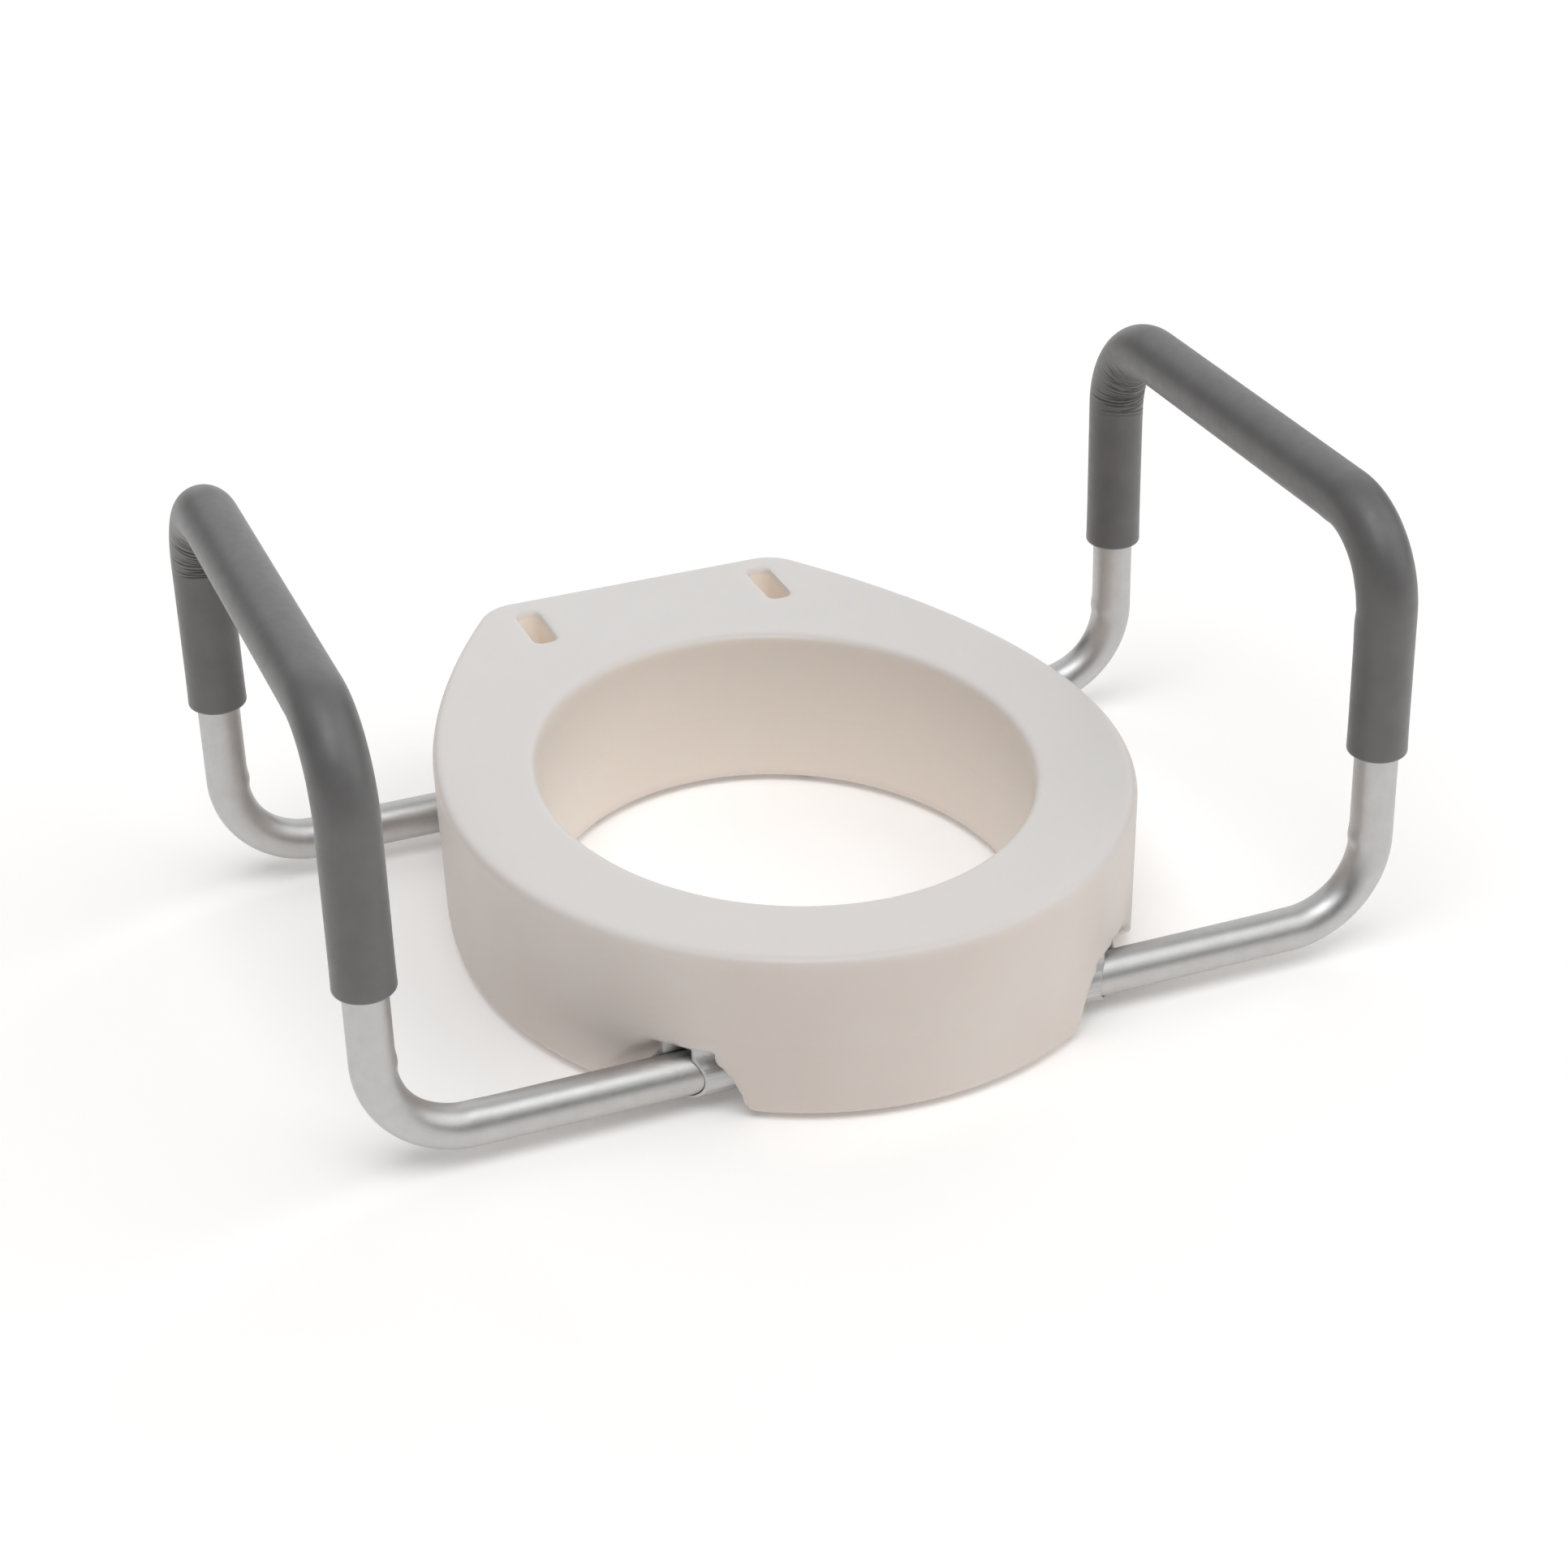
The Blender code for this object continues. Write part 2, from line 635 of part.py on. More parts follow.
def strip_side_view():
    """The bent strip's centreline, measured from the button towards the tube's bend."""
    points = [(-7.0 * MM, -7.3 * MM), (7.0 * MM, -7.3 * MM), (24.0 * MM, -3.6 * MM)]
    for i in range(7):
        a = math.radians(-90.0 + 180.0 * i / 6)
        points.append((26.0 * MM + 3.0 * MM * math.cos(a), 3.0 * MM * math.sin(a)))
    return points + [(24.0 * MM, 3.6 * MM), (0.0, 8.0 * MM), (-7.0 * MM, 7.4 * MM)]


def clip_spring(name, side, y, parts, frame, mat):
    """A flat strip bent to a V: one leg carries the button, the other backs on the tube."""
    points = [(side * along, z) for along, z in strip_side_view()]
    item = make_curve(name, [points], False, True, parts, frame)
    item.data.fill_mode = "NONE"
    item.data.extrude = STRIP_WIDTH / 2.0
    item.location = (side * BUTTON_X, y, 0.0)
    item.rotation_euler = (math.pi / 2.0, 0.0, 0.0)
    item = curve_to_mesh(item)
    item.data.materials.append(mat)
    mod = item.modifiers.new("strip", "SOLIDIFY")
    mod.thickness = STRIP_THICK
    mod.offset = 0.0


# ---------------------------------------------------------------- assembly

def main():
    clear_scene()
    parts = make_collection("raised_toilet_seat")
    cutters = make_collection("cutters")
    plastic = make_material("seat_plastic", (0.69, 0.66, 0.61), 0.42)
    tube_metal = make_material("tube_aluminium", (0.68, 0.68, 0.68), 0.32, 1.0)
    sleeve_metal = make_material("sleeve_aluminium", (0.58, 0.58, 0.57), 0.42, 1.0)
    foam = make_material("grip_foam", (0.12, 0.12, 0.12), 0.85)
    screw_steel = make_material("screw_steel", (0.60, 0.60, 0.60), 0.30, 1.0)
    button_steel = make_material("button_steel", (0.66, 0.65, 0.63), 0.25, 1.0)
    spring_steel = make_material("spring_steel", (0.42, 0.42, 0.43), 0.35, 1.0)
    rubber = make_material("pad_rubber", (0.05, 0.05, 0.05), 0.80)

    riser = arm_frame("riser", parts)
    build_riser(parts, cutters, riser, plastic)
    for hand, side in SIDES.items():
        frame = arm_frame(f"{hand}_arm", parts)
        build_arm(hand, parts, cutters, frame, tube_metal, foam)
        for end, spec in SLEEVES.items():
            tag = f"{hand}_{end}"
            build_sleeve(hand, end, parts, cutters, riser, sleeve_metal)
            for which, x in zip(("inner", "outer"), SCREWS_X[end]):
                screw(f"{tag}_{which}_screw", side * x, spec["y"], parts, riser, screw_steel)
            snap_button(f"{tag}_snap_button", side, spec["y"], parts, frame, button_steel)
            clip_spring(f"{tag}_clip_spring", side, spec["y"], parts, frame, spring_steel)
        for end, (x, y) in PADS.items():
            pad(f"{hand}_{end}_pad", side * x, y, parts, riser, rubber)


main()
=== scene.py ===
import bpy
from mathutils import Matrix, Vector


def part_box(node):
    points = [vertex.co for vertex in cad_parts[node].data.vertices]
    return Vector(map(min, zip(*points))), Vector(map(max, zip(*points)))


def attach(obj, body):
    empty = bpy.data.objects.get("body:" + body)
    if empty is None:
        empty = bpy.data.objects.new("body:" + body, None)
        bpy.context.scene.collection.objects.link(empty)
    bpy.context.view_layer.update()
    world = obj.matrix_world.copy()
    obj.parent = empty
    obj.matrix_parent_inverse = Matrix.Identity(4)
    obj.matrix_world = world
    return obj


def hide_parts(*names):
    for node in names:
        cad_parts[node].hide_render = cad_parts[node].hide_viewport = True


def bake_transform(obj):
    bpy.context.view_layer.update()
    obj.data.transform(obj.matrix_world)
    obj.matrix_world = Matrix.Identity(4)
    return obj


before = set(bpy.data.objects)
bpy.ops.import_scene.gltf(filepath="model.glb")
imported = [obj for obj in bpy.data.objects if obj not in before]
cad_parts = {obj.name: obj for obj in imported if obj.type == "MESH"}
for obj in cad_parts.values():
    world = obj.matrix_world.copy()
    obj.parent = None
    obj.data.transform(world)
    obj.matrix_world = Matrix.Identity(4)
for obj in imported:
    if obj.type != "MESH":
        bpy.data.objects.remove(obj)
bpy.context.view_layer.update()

# Looks for the raised toilet seat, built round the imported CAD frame.
# Metres, in the CAD's own frame: +Z up, +Y towards the hinge end, left is -X as seen from the front.

import math

import bmesh
import bpy
import numpy as np
from mathutils import Matrix, Vector

MM = 0.001
SIDES = {"left": -1.0, "right": 1.0}

# ---------------------------------------------------------------- places, from the frame

seat_low, seat_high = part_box("seat_shell")
tube_low, tube_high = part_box("right_arm_tube")

TUBE_R = 11.1 * MM
FLOOR_Z = -0.2 * MM
FLOOR_HALF = 40.0
SEAT_BOTTOM = seat_low[2]
SEAT_TOP = seat_high[2]
HALF_WIDTH = seat_high[0]
TUBE_Z = tube_low[2] + TUBE_R
LEG_X = tube_high[0] - TUBE_R
LEG_Y = (tube_high[1] - tube_low[1]) / 2.0 - TUBE_R
ARM_MID_Y = (tube_high[1] + tube_low[1]) / 2.0
ARM_RISE = tube_high[2] - tube_low[2] - 2.0 * TUBE_R
TUBE_END_X = tube_low[0]

# riser outline, measured from the middle between the arms' tubes
FRONT_LENGTH = ARM_MID_Y - seat_low[1]
BACK_LENGTH = seat_high[1] - ARM_MID_Y
SIDE_LENGTH = 347.5 * MM
SIDE_POWER = 1.88
BACK_CORNER_R = 25.0 * MM
WALL_DRAFT = 1.5 * MM
TOP_EDGE_R = 5.2 * MM
BOTTOM_EDGE_R = 4.0 * MM

HOLE_HALF_X = 126.5 * MM
HOLE_HALF_Y = 148.3 * MM
HOLE_Y = 1.5 * MM
HOLE_EDGE_R = 5.0 * MM
HOLE_DRAFT = 2.6 * MM

SLOT_X = 70.5 * MM
SLOT_Y = 204.5 * MM
SLOT_MOUTH = (20.5 * MM, 6.5 * MM, 5.0 * MM)
SLOT_THROAT = (13.5 * MM, 5.5 * MM, 1.2 * MM)
SLOT_DEPTH = 20.0 * MM
SLOT_EDGE_R = 2.2 * MM

# channels under the riser, heights from the tubes' axis
CHANNEL_HALF = 15.0 * MM
CHANNEL_TOP = 18.3 * MM
FLANK_SIDE = 9.6 * MM
NOTCH_R = 4.0 * MM
FLANK_R = 2.0 * MM
FLANK_START = 112.0 * MM
UNDERSIDE = SEAT_BOTTOM - TUBE_Z
FLANK_FOOT = {
    "left_front": 37.0 * MM, "right_front": 52.0 * MM, "left_rear": 37.0 * MM, "right_rear": 37.0 * MM,
}
NOTCH_BOTTOM = -24.0 * MM
VENT_R = 2.5 * MM
VENT_Y = 205.0 * MM

# arms
TUBE_WALL = 1.4 * MM
LOWER_BEND_R = 46.0 * MM
UPPER_BEND_R = 44.5 * MM
BUTTON_X = 86.0 * MM
BUTTON_HOLE_R = 4.2 * MM
STRIP_WIDTH = 6.8 * MM
STRIP_THICK = 0.6 * MM
FOAM_R = 15.46 * MM
FOAM_GAP = 0.05 * MM
FOAM_ENDS = {"left": (87.0 * MM, 92.5 * MM), "right": (94.5 * MM, 87.0 * MM)}

# sleeves, and the channels and notches they lie in; distances out from the middle, slant as x over y
RING_R = 12.9 * MM
BORE_R = 11.45 * MM
NECK_HALF = 7.6 * MM
NECK_WALL = 1.55 * MM
NECK_TOP = 18.0 * MM
ENDS = {
    "front": {
        "y": -LEG_Y, "inward": 1.0, "channel": 57.0 * MM, "notch": 80.0 * MM,
        "inner": 59.0 * MM, "mouth": 115.5 * MM, "slant": 0.83,
    },
    "rear": {
        "y": LEG_Y, "inward": -1.0, "channel": 62.0 * MM, "notch": 86.0 * MM,
        "inner": 64.0 * MM, "mouth": 139.5 * MM, "slant": -0.50,
    },
}


# ---------------------------------------------------------------- mesh helpers

def make_mesh(name, points, faces):
    mesh = bpy.data.meshes.new(name)
    mesh.from_pydata([tuple(p) for p in points], [], [tuple(f) for f in faces])
    mesh.update()
    item = bpy.data.objects.new(name, mesh)
    bpy.context.scene.collection.objects.link(item)
    return item


def shade(item, angle):
    """Smooth shading, with edges sharper than the angle in degrees kept crisp."""
    item.data.shade_smooth()
    item.data.set_sharp_from_angle(angle=math.radians(angle))


def fix_normals(item):
    bm = bmesh.new()
    bm.from_mesh(item.data)
    bmesh.ops.recalc_face_normals(bm, faces=bm.faces[:])
    bm.to_mesh(item.data)
    bm.free()


def apply_boolean(item, cutter):
    """Take the cutter's shape out of the item for good."""
    mod = item.modifiers.new("cut", "BOOLEAN")
    mod.operation = "DIFFERENCE"
    mod.solver = "EXACT"
    mod.object = cutter
    bpy.context.view_layer.update()
    graph = bpy.context.evaluated_depsgraph_get()
    mesh = bpy.data.meshes.new_from_object(item.evaluated_get(graph))
    item.modifiers.clear()
    old = item.data
    item.data = mesh
    bpy.data.meshes.remove(old)
    bpy.data.objects.remove(cutter, do_unlink=True)


def cylinder_cutter(radius, x, y, low, high, sides=48):
    bm = bmesh.new()
    bmesh.ops.create_cone(
        bm, cap_ends=True, segments=sides, radius1=radius, radius2=radius, depth=high - low
    )
    bmesh.ops.translate(bm, verts=bm.verts[:], vec=(x, y, (low + high) / 2.0))
    return cutter_from(bm)


def cutter_from(bm):
    mesh = bpy.data.meshes.new("cutter")
    bm.to_mesh(mesh)
    bm.free()
    item = bpy.data.objects.new("cutter", mesh)
    bpy.context.scene.collection.objects.link(item)
    return item


def dress(item, material, body, slot, *nodes):
    """Give a new piece its material and its body, and hide the CAD nodes it stands for."""
    item.data.materials.clear()
    item.data.materials.append(material)
    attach(item, body)
    if nodes:
        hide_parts(*nodes)


def paint_node(name, material):
    """A CAD node that is shown as it is, with its own finish."""
    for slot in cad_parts[name].material_slots:
        slot.link = "OBJECT"
        slot.material = material


# ---------------------------------------------------------------- distance fields for the riser

GRID_PITCH = 1.0 * MM
GRID_MARGIN = 14.0 * MM
CELL = 2.1 * MM


def side_x(y):
    return HALF_WIDTH * (1.0 - (y / SIDE_LENGTH) ** SIDE_POWER)


def side_slope(y):
    return -HALF_WIDTH * SIDE_POWER / SIDE_LENGTH * (y / SIDE_LENGTH) ** (SIDE_POWER - 1.0)


def corner_arc(steps):
    """How far back the side runs, and the points of the rounded back corner."""
    low, high = BACK_LENGTH * 0.6, BACK_LENGTH
    for _ in range(40):
        y = (low + high) / 2.0
        length = math.hypot(1.0, side_slope(y))
        mid_y = y + side_slope(y) / length * BACK_CORNER_R
        if mid_y < BACK_LENGTH - BACK_CORNER_R:
            low = y
        else:
            high = y
    mid_x = side_x(y) - BACK_CORNER_R / length
    start = math.atan2(y - mid_y, side_x(y) - mid_x)
    turn = np.linspace(start, math.pi / 2.0, steps)
    return y, [(mid_x + BACK_CORNER_R * math.cos(a), mid_y + BACK_CORNER_R * math.sin(a)) for a in turn]


def riser_outline():
    half = []
    for a in np.linspace(0.0, math.pi / 2.0, 120, endpoint=False):
        half.append((HALF_WIDTH * math.sin(a), -FRONT_LENGTH * math.cos(a)))
    side_end, arc = corner_arc(24)
    half += [(side_x(y), y) for y in np.linspace(0.0, side_end, 90, endpoint=False)]
    half += arc
    return np.array(half + [(-x, y) for x, y in reversed(half[1:])])


def hole_outline():
    turn = np.linspace(0.0, 2.0 * math.pi, 320, endpoint=False)
    return np.stack([HOLE_HALF_X * np.cos(turn), HOLE_Y + HOLE_HALF_Y * np.sin(turn)], axis=1)


def polygon_distance(outline, x, y):
    """Distance to a closed outline, negative inside it."""
    nearest = np.full(np.shape(x), np.inf)
    inside = np.zeros(np.shape(x), dtype=bool)
    for (ax, ay), (bx, by) in zip(outline, np.roll(outline, -1, axis=0)):
        dx, dy = bx - ax, by - ay
        t = np.clip(((x - ax) * dx + (y - ay) * dy) / (dx * dx + dy * dy), 0.0, 1.0)
        nearest = np.minimum(nearest, (x - ax - t * dx) ** 2 + (y - ay - t * dy) ** 2)
        if ay != by:
            crosses = (ay > y) != (by > y)
            inside ^= crosses & (x < ax + (y - ay) / (by - ay) * dx)
    return np.where(inside, -1.0, 1.0) * np.sqrt(nearest)


class DistanceMap:
    """Distances to an outline, worked out once on a fine grid and read between its points."""

    def __init__(self, outline):
        self.low = outline.min(axis=0) - GRID_MARGIN
        count = np.ceil((outline.max(axis=0) + GRID_MARGIN - self.low) / GRID_PITCH).astype(int) + 1
        xs, ys = [self.low[k] + GRID_PITCH * np.arange(count[k]) for k in (0, 1)]
        self.values = polygon_distance(outline, *np.meshgrid(xs, ys, indexing="ij"))
        self.last = count - 1.001

    def read(self, x, y):
        u = np.clip((x - self.low[0]) / GRID_PITCH, 0.0, self.last[0])
        v = np.clip((y - self.low[1]) / GRID_PITCH, 0.0, self.last[1])
        i, j = u.astype(int), v.astype(int)
        u, v = u - i, v - j
        near = self.values[i, j] * (1.0 - v) + self.values[i, j + 1] * v
        far = self.values[i + 1, j] * (1.0 - v) + self.values[i + 1, j + 1] * v
        return near * (1.0 - u) + far * u


def both(a, b, radius):
    """Overlap of two solids, with the edge between them rounded."""
    corner = np.hypot(np.maximum(a + radius, 0.0), np.maximum(b + radius, 0.0))
    return np.minimum(np.maximum(a, b), -radius) + corner


def slot_field(x, y, z):
    """The bolt slots: long mouths that slope in to a shorter throat."""
    depth = np.minimum(SEAT_TOP - z, z - SEAT_BOTTOM)
    t = np.clip(depth / SLOT_DEPTH, 0.0, 1.0)
    half_length, half_width, corner = [m + (n - m) * t for m, n in zip(SLOT_MOUTH, SLOT_THROAT)]
    across = np.abs(np.abs(x) - SLOT_X) - half_width + corner
    along = np.abs(y - SLOT_Y) - half_length + corner
    outside = np.hypot(np.maximum(across, 0.0), np.maximum(along, 0.0))
    return outside + np.minimum(np.maximum(across, along), 0.0) - corner


def mouth_outline():
    """The notch round a sleeve's mouth, seen end on: a bell that widens downwards, in mm from the tube."""
    half = [(9.5, 12.5), (12.6, 10.8), (15.2, 7.4), (17.1, 3.2), (18.6, -1.5), (19.8, -7.0)]
    half += [(20.8, -13.0), (21.8, -24.0)]
    return MM * np.array(half + [(-across, z) for across, z in reversed(half)])


def flank_outline(foot, inward):
    """A straight slope from the channel's upper corner down to its foot on the underside."""
    top = CHANNEL_TOP - 1.0 * MM
    tip = FLANK_SIDE + (foot - FLANK_SIDE) * (top - NOTCH_BOTTOM) / (top - UNDERSIDE)
    points = [(0.0, top), (FLANK_SIDE, top), (tip, NOTCH_BOTTOM), (0.0, NOTCH_BOTTOM)]
    return np.array([(inward * across, z) for across, z in points])


def notch_field(x, y, z):
    """The soft-edged notches that the arms come out of."""
    result = np.full(np.shape(x), 1.0)
    low_down = z < 20.0 * MM
    for hand, side in SIDES.items():
        for end, spec in ENDS.items():
            across = y - spec["y"]
            near = low_down & (side * x > 60.0 * MM) & (np.abs(across) < 75.0 * MM)
            u, v, w = side * x[near], across[near], z[near]
            mouth = np.maximum(polygon_distance(mouth_outline(), v, w), spec["notch"] - u)
            outline = flank_outline(FLANK_FOOT[f"{hand}_{end}"], spec["inward"])
            flank = np.maximum(polygon_distance(outline, v, w), FLANK_START - u)
            result[near] = np.minimum(result[near], -both(-mouth, -flank, 3.0 * MM))
    return result


def riser_field(points):
    """Signed distance to the riser's surface, near enough, at any points."""
    x, y, z = points[:, 0], points[:, 1] - ARM_MID_Y, points[:, 2]
    fall = (SEAT_TOP - z) / (SEAT_TOP - SEAT_BOTTOM)
    wall = outer_map.read(x, y) + WALL_DRAFT * fall
    rim = -hole_map.read(x, y) - HOLE_DRAFT * fall
    radius = np.where(wall > rim, TOP_EDGE_R, HOLE_EDGE_R)
    radius = np.where(fall > 0.5, BOTTOM_EDGE_R, radius)
    caps = np.maximum(z - SEAT_TOP, SEAT_BOTTOM - z)
    solid = both(np.maximum(wall, rim), caps, radius)
    solid = both(solid, -slot_field(x, y, z), SLOT_EDGE_R)
    edge = np.where(np.abs(y) < LEG_Y, FLANK_R, NOTCH_R)
    return both(solid, -notch_field(x, y, z - TUBE_Z), edge)


# ---------------------------------------------------------------- surface of a field

def grid_values(field, low, counts):
    """The field at every point of a grid, a layer at a time."""
    ys, zs = [low[k] + CELL * np.arange(counts[k]) for k in (1, 2)]
    grid_y, grid_z = [g.ravel() for g in np.meshgrid(ys, zs, indexing="ij")]
    layers = []
    for i in range(counts[0]):
        points = np.stack([np.full(grid_y.shape, low[0] + CELL * i), grid_y, grid_z], axis=1)
        layers.append(field(points).reshape(counts[1], counts[2]))
    return np.array(layers)


def crossings(values, axis):
    """Grid edges along an axis that the surface passes through, with how far along it does."""
    start = np.moveaxis(values, axis, 0)[:-1]
    stop = np.moveaxis(values, axis, 0)[1:]
    found = np.nonzero((start < 0.0) != (stop < 0.0))
    others = [k for k in range(3) if k != axis]
    cell = np.zeros((len(found[0]), 3), dtype=int)
    cell[:, axis], cell[:, others[0]], cell[:, others[1]] = found
    place = cell.astype(float)
    place[:, axis] += start[found] / (start[found] - stop[found])
    return cell, place, others, start[found] < 0.0


def surface_nets(values):
    """One point in each cell that the surface passes through, and a quad round each crossing."""
    shape = values.shape
    total = np.zeros((values.size, 3))
    count = np.zeros(values.size)
    quads = []
    for axis in range(3):
        cell, place, others, leaving = crossings(values, axis)
        corners = []
        for a, b in ((0, 0), (1, 0), (1, 1), (0, 1)):
            near = cell.copy()
            near[:, others[0]] -= a
            near[:, others[1]] -= b
            index = np.ravel_multi_index(near.T, shape)
            corners.append(index)
            count += np.bincount(index, minlength=values.size)
            for k in range(3):
                total[:, k] += np.bincount(index, weights=place[:, k], minlength=values.size)
        quad = np.stack(corners, axis=1)
        turned = leaving == (axis == 1)
        quad[turned] = quad[turned][:, ::-1]
        quads.append(quad)
    used = np.nonzero(count)[0]
    number = np.zeros(values.size, dtype=int)
    number[used] = np.arange(len(used))
    return total[used] / count[used, None], number[np.concatenate(quads)]


def settle(points, field):
    """Move points on to the surface."""
    reach = 0.1 * MM
    for _ in range(3):
        slope = np.empty_like(points)
        for k in range(3):
            step = np.zeros(3)
            step[k] = reach
            slope[:, k] = (field(points + step) - field(points - step)) / (2.0 * reach)
        size = np.maximum((slope ** 2).sum(axis=1), 0.2)
        move = (field(points) / size)[:, None] * slope
        length = np.linalg.norm(move, axis=1, keepdims=True)
        points = points - move * np.minimum(1.0, 0.7 * CELL / np.maximum(length, 1e-9))
    return points


def even_out(points, quads):
    """Draw each point halfway to the middle of its neighbours."""
    total = np.zeros_like(points)
    count = np.zeros(len(points))
    for a, b in ((0, 1), (1, 2), (2, 3), (3, 0)):
        for here, there in ((quads[:, a], quads[:, b]), (quads[:, b], quads[:, a])):
            count += np.bincount(here, minlength=len(points))
            for k in range(3):
                total[:, k] += np.bincount(here, weights=points[there, k], minlength=len(points))
    return 0.5 * points + 0.5 * total / count[:, None]


def field_mesh(field, low, high):
    low = np.array(low) - 2.3 * CELL
    counts = np.ceil((np.array(high) + 2.0 * CELL - low) / CELL).astype(int) + 1
    points, quads = surface_nets(grid_values(field, low, counts))
    points = settle(points * CELL + low, field)
    for _ in range(2):
        points = settle(even_out(points, quads), field)
    return points, quads


def lane_cutter(side, spec):
    """The channel a sleeve lies in: close to the neck on the flank's side, its upper edges eased."""
    near, far = spec["channel"], HALF_WIDTH + 20.0 * MM
    low = UNDERSIDE - 4.0 * MM
    ease = 1.2 * MM
    outline = [(-CHANNEL_HALF, low), (-CHANNEL_HALF, CHANNEL_TOP - ease), (ease - CHANNEL_HALF, CHANNEL_TOP)]
    outline += [(FLANK_SIDE - ease, CHANNEL_TOP), (FLANK_SIDE, CHANNEL_TOP - ease), (FLANK_SIDE, 10.5 * MM)]
    outline += [(CHANNEL_HALF, 3.0 * MM), (CHANNEL_HALF, low)]
    bm = bmesh.new()
    ends = []
    for x in (near, far):
        middle_y, inward = ARM_MID_Y + spec["y"], spec["inward"]
        loop = [(side * x, middle_y + inward * across, TUBE_Z + z) for across, z in outline]
        ends.append([bm.verts.new(point) for point in loop])
        bm.faces.new(ends[-1])
    for j in range(len(outline)):
        bm.faces.new((ends[0][j - 1], ends[0][j], ends[1][j], ends[1][j - 1]))
    bmesh.ops.recalc_face_normals(bm, faces=bm.faces[:])
    return cutter_from(bm)


def build_riser(material):
    points, quads = field_mesh(riser_field, seat_low, seat_high)
    riser = make_mesh("riser_moulding", points, quads)
    for side in SIDES.values():
        for spec in ENDS.values():
            apply_boolean(riser, lane_cutter(side, spec))
    vent_y = ARM_MID_Y + VENT_Y
    low, high = SEAT_BOTTOM - 2.0 * MM, SEAT_BOTTOM + 3.0 * MM
    apply_boolean(riser, cylinder_cutter(VENT_R, 0.0, vent_y, low, high))
    shade(riser, 40.0)
    dress(riser, material, "seat", "seat_plastic", "seat_shell")


# ---------------------------------------------------------------- skins

def skin(name, rows, closed=True):
    """Faces over rows of points, each row a loop; the last row joins the first, or both are capped."""
    count, sides = rows.shape[:2]
    index = np.arange(count * sides).reshape(count, sides)
    faces = []
    for i in range(count if closed else count - 1):
        here, there = index[i], index[(i + 1) % count]
        for j in range(sides):
            k = (j + 1) % sides
            faces.append((here[j], here[k], there[k], there[j]))
    if not closed:
        faces += [tuple(index[0][::-1]), tuple(index[-1])]
    return make_mesh(name, rows.reshape(-1, 3), faces)


def turned(name, profile, steps, place):
    """A solid of revolution about an upright axis: profile runs from one end of the axis to the other."""
    turn = np.linspace(0.0, 2.0 * math.pi, steps, endpoint=False)
    points = [(0.0, 0.0, profile[0][1]), (0.0, 0.0, profile[-1][1])]
    for radius, z in profile[1:-1]:
        points += [(radius * math.cos(a), radius * math.sin(a), z) for a in turn]
    faces = []
    last = len(profile) - 3
    for j in range(steps):
        k = (j + 1) % steps
        faces.append((0, 2 + j, 2 + k))
        faces.append((1, 2 + last * steps + k, 2 + last * steps + j))
        for row in range(last):
            near, far = 2 + row * steps, 2 + (row + 1) * steps
            faces.append((near + j, far + j, far + k, near + k))
    item = make_mesh(name, np.array(points) + np.array(place), faces)
    fix_normals(item)
    return item


def rounded_ends(places, total, radius):
    """How much a sweep shrinks near its two ends, so that they are rounded over."""
    reach = np.clip(radius - np.minimum(places, total - places), 0.0, radius)
    return radius - np.sqrt(radius ** 2 - reach ** 2)


# ---------------------------------------------------------------- the arms' centreline

LEG_STRAIGHT = ARM_RISE - LOWER_BEND_R - UPPER_BEND_R
FOOT_STRAIGHT = LEG_X - LOWER_BEND_R - TUBE_END_X
LENGTHS = (FOOT_STRAIGHT, LOWER_BEND_R * math.pi / 2.0, LEG_STRAIGHT, UPPER_BEND_R * math.pi / 2.0)
FOOT_END, LEG_START, LEG_TOP, BAR_START = np.cumsum(LENGTHS)
BAR_END = BAR_START + 2.0 * (LEG_Y - UPPER_BEND_R)
ARM_LENGTH = BAR_START + BAR_END


def arm_points(side, places):
    """Points of an arm's centreline at distances from its front end, and the way to each bend's inside."""
    back = places > ARM_LENGTH / 2.0
    s = np.where(back, ARM_LENGTH - places, places)
    low = np.clip((s - FOOT_END) / LOWER_BEND_R, 0.0, math.pi / 2.0)
    high = np.clip((s - LEG_TOP) / UPPER_BEND_R, 0.0, math.pi / 2.0)
    out = TUBE_END_X + np.minimum(s, FOOT_END) + LOWER_BEND_R * np.sin(low)
    up = LOWER_BEND_R * (1.0 - np.cos(low)) + np.clip(s - LEG_START, 0.0, LEG_STRAIGHT)
    up = up + UPPER_BEND_R * np.sin(high)
    along = UPPER_BEND_R * (1.0 - np.cos(high)) + np.maximum(s - BAR_START, 0.0) - LEG_Y
    y = np.where(back, -along, along)
    line = np.stack([side * out, ARM_MID_Y + y, TUBE_Z + up], axis=1)
    upper = s > (LEG_START + LEG_TOP) / 2.0
    way = np.where(back, -1.0, 1.0)
    inward = np.where(
        upper[:, None],
        np.stack([0.0 * s, way * np.cos(high), -np.sin(high)], axis=1),
        np.stack([-side * np.sin(low), 0.0 * s, np.cos(low)], axis=1),
    )
    return line, inward


